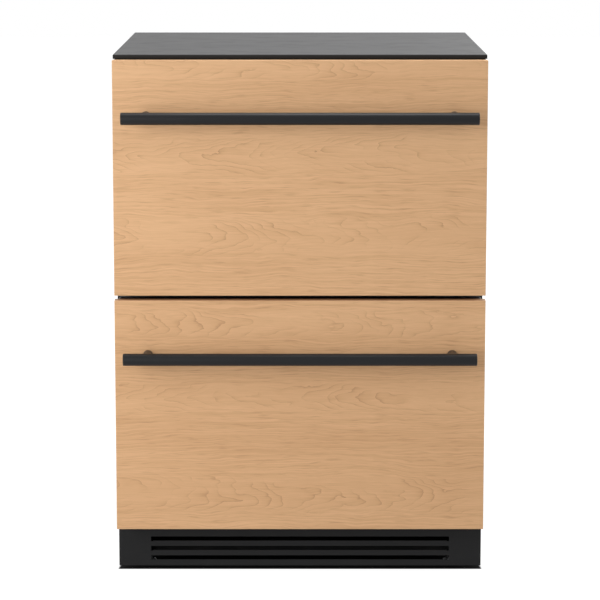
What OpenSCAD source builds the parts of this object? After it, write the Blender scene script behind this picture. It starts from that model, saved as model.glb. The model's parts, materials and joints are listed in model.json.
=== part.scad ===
// Undercounter refrigerator with two drawers behind wooden panels, in millimetres.
// X points right and Y to the back, seen from the front, and Z points up.
// The origin is on the floor, under the middle of the whole object, handles included.

/* [Cabinet] */
// Width of the top, the panels and the kick plate
cabinet_w = 606; // [590:1:620]
// Height of the top above the floor
cabinet_h = 864; // [850:1:890]
// Depth from the face of the panels to the back
cabinet_d = 610; // [600:1:640]
// Thickness of the insulated walls
wall_t = 40; // [36:1:44]
// Thickness of the case's sheet metal
sheet = 1; // [0.8:0.1:1.2]
// Thickness of the inner liner
liner_t = 2; // [1.5:0.5:3]
// Corner radius of the two openings
opening_r = 10; // [6:1:14]

/* [Top] */
// Distance from the face of the panels back to the front edge of the top
top_setback = 22; // [21:1:26]
// Height of the top's folded front edge
top_lip = 7; // [5:0.5:8]
// Height of the top's folded side and rear edges
top_skirt = 12; // [8:1:14]

/* [Fronts] */
// Thickness of the wooden panels
panel_t = 19; // [17:1:20]
// Gap between the two panels
panel_gap = 8; // [5:1:10]
// Drop from the top down to the upper panel
panel_drop = 8; // [6:1:12]
// Height of the lower panel's bottom edge above the floor
panel_foot = 81.5; // [76:0.5:90]
// Depth of the insulated fronts behind the panels
front_t = 35; // [30:1:38]
// How far the insulated fronts stay inside the panels' upper and lower edges
front_inset = 2; // [2:0.5:4]
// How far the insulated fronts stay inside the panels' side edges
side_inset = 4; // [3:0.5:6]
// How far the raised middle of the inner face stands out
dike_t = 5; // [3:1:6]
// Thickness of the closed gasket
gasket_t = 8; // [7:0.5:10]
// Width of the gasket
gasket_w = 13; // [11:1:15]
// Distance from the front's edge to the gasket
gasket_edge = 3; // [2:0.5:4]

/* [Handles] */
// Diameter of the handle bars
bar_d = 20; // [16:1:24]
// Length of the handle bars
bar_l = 574; // [540:1:590]
// Distance from the face of the panel to the bar's centre
bar_reach = 45; // [38:1:55]
// Drop from the panel's upper edge to the bar's centre
bar_drop = 90; // [70:1:110]
// Chamfer at the bar's ends
bar_chamfer = 0.8; // [0.4:0.1:1.5]
// Diameter of the handle posts
post_d = 16; // [12:1:18]
// Distance between the two posts of a handle
post_span = 498; // [460:1:520]
// Diameter of the handle screws
screw_d = 5; // [4:0.5:6]
// Diameter of the handle screws' heads
screw_head_d = 12; // [10:0.5:14]
// Height of the handle screws' heads
screw_head_h = 3; // [2:0.5:4]
// How deep the handle screws reach into the bar
screw_grip = 12; // [8:1:15]

/* [Kick plate] */
// Gap between the floor and the kick plate
toe_gap = 6; // [4:0.5:12]
// Distance from the face of the panels back to the kick plate
kick_setback = 50; // [46:1:54]
// Depth of the kick plate's folded edges
kick_fold = 10; // [6:1:10]
// Thickness of the kick plate
kick_t = 2; // [1.5:0.5:3]
// Number of slots
slot_count = 3; // [2:1:3]
// Length of a slot
slot_l = 499; // [440:1:520]
// Height of a slot
slot_h = 7.2; // [5:0.1:9]
// Distance between the slots' centres
slot_pitch = 16.2; // [12:0.1:18]
// Height of the lowest slot's centre above the plate's bottom edge
slot_foot = 14.4; // [12:0.1:18]

/* [Drawers] */
// Wall thickness of the bins
bin_wall = 2.5; // [2:0.5:3]
// Corner radius of the bins
bin_r = 24; // [15:1:35]
// Height of a bin's rim above its opening's floor
bin_rise = 262; // [245:1:280]
// Gap between the opening's floor and the bin's underside
bin_lift = 8; // [5:1:12]
// Width of the bin's rim
rim_w = 6; // [5:0.5:8]
// Thickness of the bin's rim
rim_t = 3; // [2:0.5:4]
// Number of ribs on a bin's floor
rib_count = 7; // [3:1:12]
// Thickness of the drawer frames' steel
frame_t = 1.5; // [1.2:0.1:2]

/* [Slides] */
// Height of the slides' centre above the opening's floor
slide_rise = 205; // [195:1:215]
// Height of an outer slide member
slide_h = 45; // [45:0.5:50]
// Thickness of a closed slide
slide_t = 12.7; // [12.7:0.1:14]
// Thickness of the slide members' webs
web_t = 1.2; // [1:0.1:1.3]
// Diameter of the balls
ball_d = 3.2; // [3:0.1:3.4]
// Running clearance round the balls
ball_gap = 0.3; // [0.3:0.05:0.35]
// Length of a ball cage
cage_l = 200; // [160:1:220]
// Distance from the slide's front end back to the closed cages
cage_start = 120; // [110:1:125]
// Distance between balls
ball_pitch = 40; // [25:1:60]

/* [Machine space] */
// Height of the base pan above the floor
base_lift = 25; // [22:1:30]
// Height of the machine space's ceiling above the floor
machine_h = 230; // [228:1:250]
// Depth of the machine space from the back
machine_d = 186; // [182:1:200]
// Diameter of the compressor's can
can_d = 124; // [110:1:130]
// Height of the compressor's can
can_h = 148; // [135:1:150]
// Outer radius of the condenser fan
big_fan_r = 68; // [55:1:72]
// Outer radius of the evaporator fan
small_fan_r = 44; // [36:1:50]
// Diameter of the suction and discharge lines
line_d = 8; // [6:1:9]
// Diameter of the capillary line
capillary_d = 5; // [4:1:6]
// Depth of the air duct behind the evaporator cover
duct_d = 48; // [46:1:56]

/* [Legs] */
// Diameter of a levelling leg's stem
stem_d = 10; // [8:1:12]
// Height of a levelling leg
leg_h = 70; // [55:1:75]
// Diameter of a leg's pad
pad_d = 40; // [32:1:44]
// Height of a leg's pad
pad_h = 8; // [6:1:10]
// Distance from the cabinet's side to a leg's centre
leg_side = 41; // [38:1:50]
// Distance from the case's front to the front legs' centre
leg_front = 33; // [30:1:45]
// Distance from the back to the rear legs' centre
leg_back = 30; // [28:1:34]

/* [Hidden] */
$fn = 48;
eps = 1;
seat_gap = 0.3;
run_gap = 0.05;
hole_gap = 0.2;
head_gap = 1;
lower = 0;
upper = 1;
sides = [-1, 1];

// Planes from front to back
overall_d = cabinet_d + bar_reach + bar_d / 2;
back_y = overall_d / 2;
face_y = back_y - cabinet_d;
panel_back_y = face_y + panel_t;
front_back_y = panel_back_y + front_t;
frame_y = front_back_y + gasket_t;
case_y = frame_y + sheet;
top_y = face_y + top_setback;
kick_y = face_y + kick_setback;
rear_inset = 1.8;
rear_y = back_y - rear_inset;
rear_in_y = rear_y - sheet;
flange_in_y = rear_in_y - sheet;
cavity_back_y = back_y - wall_t;
bulkhead_y = back_y - machine_d;
step_y = bulkhead_y - wall_t + 2 * liner_t;
cover_y = cavity_back_y - duct_d;

// Planes from the middle to the sides
half_w = cabinet_w / 2;
shell_x = half_w - sheet - hole_gap;
shell_in_x = shell_x - sheet;
front_x = half_w - side_inset;
cavity_x = half_w - wall_t;
slide_in_x = cavity_x - slide_t;

// Planes from the floor up
panel_h = (cabinet_h - panel_drop - panel_foot - panel_gap) / 2;
split_z = panel_foot + panel_h + panel_gap / 2;
frame_z = panel_foot + front_inset;
top_in_z = cabinet_h - sheet;
shell_top_z = top_in_z - seat_gap;
mullion_h = 2 * (panel_gap / 2 + front_inset + gasket_edge + gasket_w);
floor_z = frame_z + wall_t;
ceiling_z = cabinet_h - wall_t;
foam_z = frame_z + sheet;
step_z = machine_h + wall_t - 2 * liner_t;
base_z = base_lift + sheet;
kick_head_gap = 3;
kick_top_z = panel_foot - kick_head_gap;
kick_r = 1;
leg_x = half_w - leg_side;
leg_front_y = case_y + leg_front;
leg_rear_y = back_y - leg_back;

function panel_z(tier) = panel_foot + tier * (panel_h + panel_gap);
function bar_z(tier) = panel_z(tier) + panel_h - bar_drop;
function opening_z(tier) = tier == upper ? split_z + mullion_h / 2 : floor_z;
function opening_top_z(tier) = tier == upper ? ceiling_z : split_z - mullion_h / 2;
function slide_z(tier) = opening_z(tier) + slide_rise;
function rim_z(tier) = opening_z(tier) + bin_rise;

// Slides
slide_front_gap = 3;
slide_back_gap = 14;
slide_y = case_y + slide_front_gap;
slide_l = cover_y - slide_back_gap - slide_y;
ball_r = ball_d / 2;
groove_r = ball_r + ball_gap;
skin_t = 1;
cage_t = 0.8;
race_gap = 1;
outer_ball_z = slide_h / 2 - skin_t - groove_r;
inner_ball_z = outer_ball_z - 2 * groove_r - web_t;
outer_ball_x = 6.2;
inner_ball_x = 8.6;
outer_depth = 9.5;
middle_x = 3.4;
middle_depth = 11.4;
inner_x = 6.4;
outer_cage_x = 2;
outer_cage_depth = 9;
inner_cage_x = middle_x + web_t + 0.4;
inner_cage_depth = 11;
cage_web_t = 0.6;

// Bins and drawer frames
bin_front_gap = 14;
bin_back_gap = 20;
bin_y = frame_y + bin_front_gap;
rail_x = slide_in_x - frame_t;
bin_x = slide_in_x - rim_w - seat_gap;
rim_x = slide_in_x - seat_gap;
rail_drop = 15;
rim_lap = rim_w - seat_gap;
rib_h = 1.5;
rib_w = 4;
rib_sink = 0.5;
crossbar_h = 40;
crossbar_gap = 4;
tab_w = 45;
function bin_d(tier) = (tier == upper ? cover_y : step_y) - bin_back_gap - bin_y;

// Insulated fronts
dike_side_gap = 6;
dike_x = slide_in_x - tab_w - dike_side_gap;
dike_margin = 20;
dike_r = 12;
front_r = 4;

// Machine space
fan_side_gap = 143;
fan_x = half_w - fan_side_gap;
fan_z = 126;
coil_w = 230;
coil_d = 36;
coil_front_gap = 7;
coil_head_gap = 10;
coil_y = bulkhead_y + sheet + coil_front_gap;
coil_h = machine_h - sheet - coil_head_gap - base_z;
port_l = 6;
port_foot = 20;
shroud_gap = 2;
shroud_y = coil_y + coil_d + shroud_gap;
shroud_t = 1.5;
mouth_l = 18;
mouth_gap = 4;
big_fan_gap = 4;
big_fan_y = shroud_y + big_fan_gap;
big_fan_l = 22;
big_motor_y = big_fan_y + big_fan_l + big_fan_gap;
big_shaft_r = 3;
shaft_grip = 2;
can_side_gap = 153;
can_x = can_side_gap - half_w;
can_back_gap = 95;
can_y = back_y - can_back_gap;
grommet_h = 10;
can_plate_t = 2.5;
can_plate_z = base_z + grommet_h;
can_z = can_plate_z + can_plate_t;
can_top_z = can_z + can_h;
grommet_dx = 72;
grommet_dy = 46;
stud_r = 3;
stub_l = 10;
suction_rise = 82;
suction_z = can_z + suction_rise;
discharge_rise = 108;
discharge_z = can_z + discharge_rise;
line_bend = 12;
riser_back_gap = 20;
riser_y = back_y - riser_back_gap;
riser_side_gap = 58;
riser_x = riser_side_gap - half_w;
capillary_y = riser_y + 2;
capillary_side_gap = 48;
capillary_x = capillary_side_gap - half_w;

// Evaporator
evap_w = 400;
evap_h = 200;
evap_t = 38;
evap_y = cavity_back_y - evap_t;
evap_lift = 26;
evap_z = step_z + evap_lift;
evap_out_z = evap_z + evap_h - port_foot;
evap_in_z = evap_z + port_foot;
evap_port_x = -evap_w / 2 - port_l;
evap_port_y = evap_y + evap_t / 2;
fan_rise = 140;
small_fan_gap = 7;
small_fan_l = 13;
small_fan_z = evap_z + evap_h + fan_rise;
small_fan_y = cover_y + small_fan_gap;
small_motor_y = small_fan_y + small_fan_l + 3;
small_shaft_r = 1.5;
drain_offset = 30;
drain_x = can_x + drain_offset;
drain_r = 6;
trough_h = 18;

suction_path = [
    [can_x - can_d / 2 - stub_l, can_y, suction_z],
    [riser_x, can_y, suction_z],
    [riser_x, riser_y, suction_z],
    [riser_x, riser_y, evap_out_z],
    [riser_x, evap_port_y, evap_out_z],
    [evap_port_x, evap_port_y, evap_out_z]
];
discharge_gap = 35;
discharge_x = fan_x - coil_w / 2 - discharge_gap;
condenser_port_x = fan_x - coil_w / 2 - port_l;
condenser_port_y = coil_y + coil_d / 2;
condenser_in_z = base_z + coil_h - port_foot;
condenser_out_z = base_z + port_foot;
discharge_path = [
    [can_x + can_d / 2 + stub_l, can_y, discharge_z],
    [discharge_x, can_y, discharge_z],
    [discharge_x, condenser_port_y, discharge_z],
    [discharge_x, condenser_port_y, condenser_in_z],
    [condenser_port_x, condenser_port_y, condenser_in_z]
];
capillary_path = [
    [condenser_port_x, condenser_port_y, condenser_out_z],
    [discharge_x, condenser_port_y, condenser_out_z],
    [discharge_x, capillary_y, condenser_out_z],
    [capillary_x, capillary_y, condenser_out_z],
    [capillary_x, capillary_y, evap_in_z],
    [capillary_x, evap_port_y, evap_in_z],
    [evap_port_x, evap_port_y, evap_in_z]
];

flange_w = 20;
gland_side_gap = 63;
gland_x = half_w - gland_side_gap;
gland_z = 62;
gland_r = 11;

// A box between two corners, given as a range on each axis
module block(x, y, z) {
    translate([x[0], y[0], z[0]]) cube([x[1] - x[0], y[1] - y[0], z[1] - z[0]]);
}

// Stands a flat drawing of X and Z upright at y, with thickness t to the back
module upright(y, t) {
    translate([0, y + t, 0]) rotate([90, 0, 0]) linear_extrude(t) children();
}

// Runs a flat drawing of Y and Z along X, from x0 to x1
module across(x0, x1) {
    translate([x0, 0, 0]) rotate([90, 0, 90]) linear_extrude(x1 - x0) children();
}

// A cylinder along Y
module rod(x, y, z, r, l) {
    translate([x, y, z]) rotate([-90, 0, 0]) cylinder(r = r, h = l);
}

// A rectangle between two corners with round corners, from squares and circles
module rounded_rect(x, z, r) {
    translate([x[0] + r, z[0]]) square([x[1] - x[0] - 2 * r, z[1] - z[0]]);
    translate([x[0], z[0] + r]) square([x[1] - x[0], z[1] - z[0] - 2 * r]);
    for (cx = [x[0] + r, x[1] - r], cz = [z[0] + r, z[1] - r]) translate([cx, cz]) circle(r = r);
}

// Mirrors a left-hand piece to both sides
module both_sides() {
    children();
    mirror([1, 0, 0]) children();
}

function shrink(range, t) = [range[0] + t, range[1] - t];
function unit(v) = v / norm(v);
function heading(path, i) = unit(path[i + 1] - path[i]);
function aside(d) = abs(d[2]) < 0.5 ? cross([0, 0, 1], d) : cross([1, 0, 0], d);
function placing(x, y, z, at) = [
    [x[0], y[0], z[0], at[0]],
    [x[1], y[1], z[1], at[1]],
    [x[2], y[2], z[2], at[2]],
    [0, 0, 0, 1]
];

// A tube along square turns, each turn a quarter ring of the given bend radius
module tube_run(path, r, bend) {
    last = len(path) - 1;
    for (i = [0 : last - 1]) {
        d = heading(path, i);
        start = path[i] + (i > 0 ? bend * d : 0 * d);
        end = path[i + 1] - (i + 1 < last ? bend * d : 0 * d);
        multmatrix(placing(aside(d), cross(d, aside(d)), d, start)) cylinder(r = r, h = norm(end - start));
    }
    for (i = [1 : last - 1]) {
        d = heading(path, i - 1);
        turn = heading(path, i);
        centre = path[i] - bend * d + bend * turn;
        multmatrix(placing(d, -turn, -cross(d, turn), centre))
            rotate_extrude(angle = 90) translate([bend, 0]) circle(r = r);
    }
}

// Case

module side_panel() {
    color("#26272a") {
        block([-shell_x, -shell_in_x], [case_y, rear_in_y], [base_lift, shell_top_z]);
        block([-shell_x, -shell_in_x + flange_w], [case_y, case_y + sheet], [base_lift, shell_top_z]);
        block([-shell_x, -shell_in_x + flange_w], [flange_in_y, rear_in_y], [base_lift, shell_top_z]);
    }
}

module side_panel_left() {
    side_panel();
}

module side_panel_right() {
    mirror([1, 0, 0]) side_panel();
}

module top_panel() {
    skirt_z = cabinet_h - top_skirt;
    color("#858585") {
        block([-half_w, half_w], [top_y, back_y], [top_in_z, cabinet_h]);
        block([-half_w, half_w], [top_y, top_y + sheet], [cabinet_h - top_lip, cabinet_h]);
        block([-half_w, half_w], [back_y - sheet, back_y], [skirt_z, cabinet_h]);
        both_sides() block([-half_w, -half_w + sheet], [case_y, back_y], [skirt_z, cabinet_h]);
        both_sides() block([-half_w, -half_w + sheet], [top_y, back_y], [cabinet_h - top_lip, cabinet_h]);
    }
}

module back_panel() {
    color("#9a9c9e") block([-shell_x, shell_x], [rear_in_y, rear_y], [machine_h + seat_gap, shell_top_z]);
}

module rear_cover() {
    vent_w = 76;
    vent_h = 5;
    vent_pitch = 12;
    vent_rows = 11;
    vent_r = 2.4;
    vent_foot = base_z + 40;
    vent_columns = [-190, -95, 0, 95];
    color("#3a3b3d") difference() {
        block([-shell_x, shell_x], [rear_in_y, rear_y], [base_z, machine_h]);
        for (x = vent_columns, row = [0 : vent_rows - 1])
            upright(rear_in_y - eps, sheet + 2 * eps)
                rounded_rect([x - vent_w / 2, x + vent_w / 2],
                    [vent_foot + row * vent_pitch, vent_foot + row * vent_pitch + vent_h], vent_r);
        rod(gland_x, rear_in_y - eps, gland_z, gland_r + hole_gap, sheet + 2 * eps);
    }
}

// Pan with folded edges, weld nuts for the legs, studs for the compressor and tabs for the kick plate
module base_pan() {
    pan_front_y = case_y + sheet;
    edge_h = 18;
    edge_z = [base_lift, base_lift + edge_h];
    nut_r = 11;
    nut_h = 11;
    stud_tip = 6;
    kick_tab_inset = 24;
    kick_tab_w = 24;
    kick_tab_x = [kick_tab_inset - half_w, kick_tab_inset + kick_tab_w - half_w];
    kick_tab_top = 62;
    color("#26272a") difference() {
        union() {
            block([-shell_in_x, shell_in_x], [pan_front_y, flange_in_y], [base_lift, base_z]);
            block([-shell_in_x, shell_in_x], [pan_front_y, pan_front_y + sheet], edge_z);
            block([-shell_in_x, shell_in_x], [flange_in_y - sheet, flange_in_y], edge_z);
            both_sides() {
                block([-shell_in_x, -shell_in_x + sheet], [pan_front_y, flange_in_y], edge_z);
                block(kick_tab_x, [kick_y + kick_t, pan_front_y + sheet], [base_lift, base_z]);
                block(kick_tab_x, [kick_y + kick_t, kick_y + kick_t + sheet], [base_lift, kick_tab_top]);
                for (y = [leg_front_y, leg_rear_y])
                    translate([-leg_x, y, base_z]) cylinder(r = nut_r, h = nut_h);
            }
            for (dx = [-grommet_dx, grommet_dx], dy = [-grommet_dy, grommet_dy])
                translate([can_x + dx, can_y + dy, base_lift])
                    cylinder(r = stud_r, h = sheet + grommet_h + can_plate_t + stud_tip);
        }
        for (side = sides, y = [leg_front_y, leg_rear_y])
            translate([side * leg_x, y, base_lift - eps])
                cylinder(r = stem_d / 2 + run_gap, h = sheet + nut_h + 2 * eps);
    }
}

// The case's stepped floor, folded from one sheet over the machine space
module bottom_plate() {
    color("#8f9294") difference() {
        across(-shell_in_x, shell_in_x) polygon([
            [case_y + sheet, frame_z],
            [bulkhead_y + sheet, frame_z],
            [bulkhead_y + sheet, machine_h - sheet],
            [flange_in_y, machine_h - sheet],
            [flange_in_y, machine_h],
            [bulkhead_y, machine_h],
            [bulkhead_y, foam_z],
            [case_y + sheet, foam_z]
        ]);
        line_channels();
        drain_channel();
    }
}

module front_frame() {
    color("#26272a") upright(frame_y, sheet) difference() {
        translate([-shell_x, frame_z]) square([2 * shell_x, shell_top_z - frame_z]);
        for (tier = [lower, upper])
            rounded_rect([-cavity_x, cavity_x], [opening_z(tier), opening_top_z(tier)], opening_r);
    }
}

module mullion_rail() {
    rail_d = 40;
    color("#3a3b3d") block([-cavity_x + seat_gap, cavity_x - seat_gap], [case_y, case_y + rail_d],
        [split_z - mullion_h / 2, split_z + mullion_h / 2]);
}

// Outline of the cavity in Y and Z, grown by a wall thickness, with the step over the machine space
module cavity_outline(grow, front_y) {
    polygon([
        [front_y, floor_z - grow],
        [step_y + grow, floor_z - grow],
        [step_y + grow, step_z - grow],
        [cavity_back_y + grow, step_z - grow],
        [cavity_back_y + grow, ceiling_z + grow],
        [front_y, ceiling_z + grow]
    ]);
}

module inner_liner() {
    color("#eceeee") difference() {
        across(-cavity_x - liner_t, cavity_x + liner_t) cavity_outline(liner_t, case_y);
        across(-cavity_x, cavity_x) cavity_outline(0, case_y - eps);
        line_channels();
        drain_channel();
    }
}

module insulation() {
    notch_w = flange_w + 2;
    notch_d = 9;
    color("#e8d9a0") difference() {
        union() {
            block([-shell_in_x, shell_in_x], [case_y + sheet, rear_in_y - notch_d], [foam_z, top_in_z]);
            block([-shell_in_x + notch_w, shell_in_x - notch_w], [case_y + sheet, rear_in_y],
                [foam_z, top_in_z]);
        }
        across(-cavity_x - liner_t, cavity_x + liner_t) cavity_outline(liner_t, case_y - eps);
        block([-half_w, half_w], [bulkhead_y, back_y], [0, machine_h]);
        line_channels();
        drain_channel();
    }
}

// Holes through the plate, foam and liner for the two lines to the evaporator
module line_channels() {
    tube_run(suction_path, line_d / 2 + hole_gap, line_bend);
    tube_run(capillary_path, capillary_d / 2 + hole_gap, line_bend);
}

module kick_grille() {
    fold_x = [kick_r - half_w, half_w - kick_r];
    fold_y = [kick_y + kick_t, kick_y + kick_fold];
    first_z = toe_gap + slot_foot - slot_h / 2;
    color("#1f2022") {
        upright(kick_y, kick_t) difference() {
            rounded_rect([-half_w, half_w], [toe_gap, kick_top_z], kick_r);
            for (i = [0 : slot_count - 1])
                rounded_rect([-slot_l / 2, slot_l / 2],
                    [first_z + i * slot_pitch, first_z + i * slot_pitch + slot_h], kick_r);
        }
        block(fold_x, fold_y, [kick_top_z - kick_t, kick_top_z]);
        block(fold_x, fold_y, [toe_gap, toe_gap + kick_t]);
        both_sides() block([-half_w, -half_w + kick_t], fold_y,
            [toe_gap + kick_t / 2, kick_top_z - kick_t / 2]);
    }
}

// Machine space

module compressor() {
    dome_ratio = 0.64;
    dome_r = can_d * dome_ratio;
    band_r = can_d / 2 + 2;
    band_h = 7;
    foot_h = 10;
    plate_margin = 12;
    plate_r = 10;
    plate_x = grommet_dx + plate_margin;
    plate_y = grommet_dy + plate_margin;
    stub_depth = 10;
    color("#17181a") {
        translate([can_x, can_y, can_z]) rotate_extrude() intersection() {
            square([can_d / 2, can_h]);
            translate([0, dome_r]) circle(r = dome_r);
            translate([0, can_h - dome_r]) circle(r = dome_r);
        }
        translate([can_x, can_y, can_z + can_h / 2]) cylinder(r = band_r, h = band_h);
        translate([can_x, can_y, can_plate_z]) cylinder(r = can_d / 3, h = can_plate_t + foot_h);
        translate([can_x, can_y, can_plate_z]) linear_extrude(can_plate_t) difference() {
            rounded_rect([-plate_x, plate_x], [-plate_y, plate_y], plate_r);
            for (dx = [-grommet_dx, grommet_dx], dy = [-grommet_dy, grommet_dy])
                translate([dx, dy]) circle(r = stud_r + hole_gap);
        }
        translate([can_x - can_d / 2 - stub_l, can_y, suction_z]) rotate([0, 90, 0])
            cylinder(r = line_d / 2, h = stub_l + stub_depth);
        translate([can_x + can_d / 2 - stub_depth, can_y, discharge_z]) rotate([0, 90, 0])
            cylinder(r = line_d / 2, h = stub_l + stub_depth);
        terminal_box();
    }
}

// Cover of the compressor's terminals, hollowed to sit round the can
module terminal_box() {
    box_x = 23;
    box_d = 20;
    box_lap = 6;
    box_z = can_z + 24;
    box_h = 36;
    difference() {
        block([can_x - box_x, can_x + box_x], [can_y + can_d / 2 - box_lap, can_y + can_d / 2 + box_d],
            [box_z, box_z + box_h]);
        translate([can_x, can_y, box_z - eps]) cylinder(r = can_d / 2 + hole_gap, h = box_h + 2 * eps);
    }
}

module compressor_grommets() {
    grommet_r = 11;
    waist_r = 8;
    steps = grommet_h * [0.3, 0.45, 0.55, 0.7];
    color("#2b2b2b") for (dx = [-grommet_dx, grommet_dx], dy = [-grommet_dy, grommet_dy])
        translate([can_x + dx, can_y + dy, base_z]) rotate_extrude() polygon([
            [stud_r + hole_gap, 0],
            [grommet_r, 0],
            [grommet_r, steps[0]],
            [waist_r, steps[1]],
            [waist_r, steps[2]],
            [grommet_r, steps[3]],
            [grommet_r, grommet_h],
            [stud_r + hole_gap, grommet_h]
        ]);
}

// Tray on top of the compressor, whose warmth dries up the melt water
module drain_pan() {
    tray_x = 84;
    tray_front = 62;
    tray_back = 64;
    tray_y = [can_y - tray_front, can_y + tray_back];
    tray_h = 20;
    tray_r = 10;
    tray_wall = 1.5;
    color("#d9dadb") difference() {
        translate([0, 0, can_top_z]) linear_extrude(tray_h)
            rounded_rect([can_x - tray_x, can_x + tray_x], tray_y, tray_r);
        translate([0, 0, can_top_z + tray_wall]) linear_extrude(tray_h)
            rounded_rect(shrink([can_x - tray_x, can_x + tray_x], tray_wall), shrink(tray_y, tray_wall),
                tray_r - tray_wall);
    }
}

// A block of fins on a tube that runs to and fro, with its ports on the left
module fin_coil(x, y, z, w, t, h, pitch, passes) {
    fin_t = 0.8;
    fin_inset = 1;
    fin_margin = 4;
    plate_t = 1.5;
    tube_r = 4;
    count = floor((w - 2 * plate_t) / pitch);
    rise = (h - 2 * port_foot) / (passes - 1);
    first_x = x - (count - 1) * pitch / 2;
    for (plate_x = [x - w / 2, x + w / 2 - plate_t])
        block([plate_x, plate_x + plate_t], [y, y + t], [z, z + h]);
    for (i = [0 : count - 1])
        block([first_x + i * pitch - fin_t / 2, first_x + i * pitch + fin_t / 2],
            shrink([y, y + t], fin_inset), shrink([z, z + h], fin_margin));
    for (i = [0 : passes - 1])
        translate([x - w / 2 - port_l, y + t / 2, z + port_foot + i * rise]) rotate([0, 90, 0])
            cylinder(r = tube_r, h = w + 2 * port_l);
    for (i = [0 : passes - 2]) {
        side = i % 2 == 0 ? 1 : -1;
        translate([x + side * (w / 2 + port_l), y + t / 2, z + port_foot + (i + 0.5) * rise])
            rotate([90, 0, 0]) rotate([0, 0, side > 0 ? -90 : 90])
                rotate_extrude(angle = 180) translate([rise / 2, 0]) circle(r = tube_r);
    }
}

module condenser_coil() {
    color("#b8bbbd") fin_coil(fan_x, coil_y, base_z, coil_w, coil_d, coil_h, 10, 6);
}

module fan_shroud() {
    mouth_r = big_fan_r + mouth_gap;
    color("#2a2b2d") difference() {
        union() {
            block([fan_x - coil_w / 2, fan_x + coil_w / 2], [shroud_y, shroud_y + shroud_t],
                [base_z, base_z + coil_h]);
            rod(fan_x, shroud_y, fan_z, mouth_r + shroud_t, mouth_l);
        }
        rod(fan_x, shroud_y - eps, fan_z, mouth_r, mouth_l + 2 * eps);
    }
}

// Hub and blades about a centre on the Y axis, set at an angle like a propeller
module rotor(x, y, z, tip_r, hub_r, l, blades, bore_r) {
    blade_t = 1.6;
    pitch_angle = 32;
    fill = 0.9;
    root = 2;
    chord = fill * l / sin(pitch_angle);
    translate([x, y, z]) rotate([-90, 0, 0]) difference() {
        union() {
            cylinder(r = hub_r, h = l);
            intersection() {
                cylinder(r = tip_r, h = l);
                for (i = [0 : blades - 1])
                    rotate([0, 0, i * 360 / blades]) translate([hub_r - root, 0, l / 2])
                        rotate([90 - pitch_angle, 0, 0])
                            translate([0, -chord / 2, -blade_t / 2]) cube([tip_r, chord, blade_t]);
            }
        }
        translate([0, 0, -eps]) cylinder(r = bore_r, h = l + 2 * eps);
    }
}

// Motor with its shaft and three arms that carry it from the sheet in front of it
module fan_motor(x, y, z, r, l, shaft_r, shaft_l, arm_r, seat_y) {
    arm_t = 4;
    arm_w = 8;
    arm_lap = 2;
    rod(x, y, z, r, l);
    rod(x, y - shaft_l, z, shaft_r, shaft_l + 1);
    for (angle = [90, 210, 330])
        translate([x, 0, z]) rotate([0, -angle, 0]) {
            block([r - arm_lap, arm_r + arm_t], [y + l - arm_t, y + l], [-arm_w / 2, arm_w / 2]);
            block([arm_r, arm_r + arm_t], [seat_y, y + l], [-arm_w / 2, arm_w / 2]);
        }
}

module condenser_fan_motor() {
    motor_r = 26;
    motor_l = 34;
    arm_gap = 12;
    color("#55585a") fan_motor(fan_x, big_motor_y, fan_z, motor_r, motor_l, big_shaft_r,
        big_fan_l + shaft_grip, big_fan_r + arm_gap, shroud_y + shroud_t);
}

module condenser_fan_blades() {
    hub_r = 20;
    color("#d8d8d8") rotor(fan_x, big_fan_y, fan_z, big_fan_r, hub_r, big_fan_l, 5,
        big_shaft_r + run_gap);
}

module refrigerant_lines() {
    drier_r = 9;
    drier_l = 80;
    drier_gap = 10;
    color("#b87333") {
        tube_run(suction_path, line_d / 2, line_bend);
        tube_run(discharge_path, line_d / 2, line_bend);
        tube_run(capillary_path, capillary_d / 2, line_bend);
        rod(discharge_x, condenser_port_y + line_bend + drier_gap, condenser_out_z, drier_r, drier_l);
    }
}

// Evaporator and cavity

module evaporator_coil() {
    color("#c3c6c8") fin_coil(0, evap_y, evap_z, evap_w, evap_t, evap_h, 12.5, 6);
}

module evaporator_cover() {
    cover_x = cavity_x - seat_gap;
    cover_top_z = ceiling_z - seat_gap;
    grille_slots = 8;
    grille_pitch = 11;
    grille_h = 6;
    grille_r = 2.5;
    intake_x = 35;
    intake_lift = 8;
    intake_columns = [-180, -90, 0, 90, 180];
    color("#dfe2e3") difference() {
        block([-cover_x, cover_x], [cover_y, cavity_back_y - seat_gap], [step_z, cover_top_z]);
        block([-cover_x + liner_t, cover_x - liner_t], [cover_y + liner_t, cavity_back_y + eps],
            [step_z - eps, cover_top_z - liner_t]);
        upright(cover_y - eps, liner_t + 2 * eps) {
            for (i = [0 : grille_slots - 1])
                translate([0, small_fan_z + (i - grille_slots / 2) * grille_pitch + 2])
                    rounded_rect([-small_fan_r, small_fan_r], [0, grille_h], grille_r);
            for (x = intake_columns, row = [0 : 2])
                translate([x, step_z + intake_lift + row * grille_pitch])
                    rounded_rect([-intake_x, intake_x], [0, grille_h], grille_r);
        }
    }
}

module evaporator_fan_motor() {
    motor_r = 16;
    motor_l = 18;
    arm_gap = 6;
    color("#55585a") fan_motor(0, small_motor_y, small_fan_z, motor_r, motor_l, small_shaft_r,
        small_fan_l + shaft_grip, small_fan_r + arm_gap, cover_y + liner_t);
}

module evaporator_fan_blades() {
    hub_r = 11;
    color("#d8d8d8") rotor(0, small_fan_y, small_fan_z, small_fan_r, hub_r, small_fan_l, 5,
        small_shaft_r + run_gap);
}

module drain_channel() {
    translate([drain_x, evap_port_y, 0]) cylinder(r = drain_r + hole_gap, h = step_z + eps);
}

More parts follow.
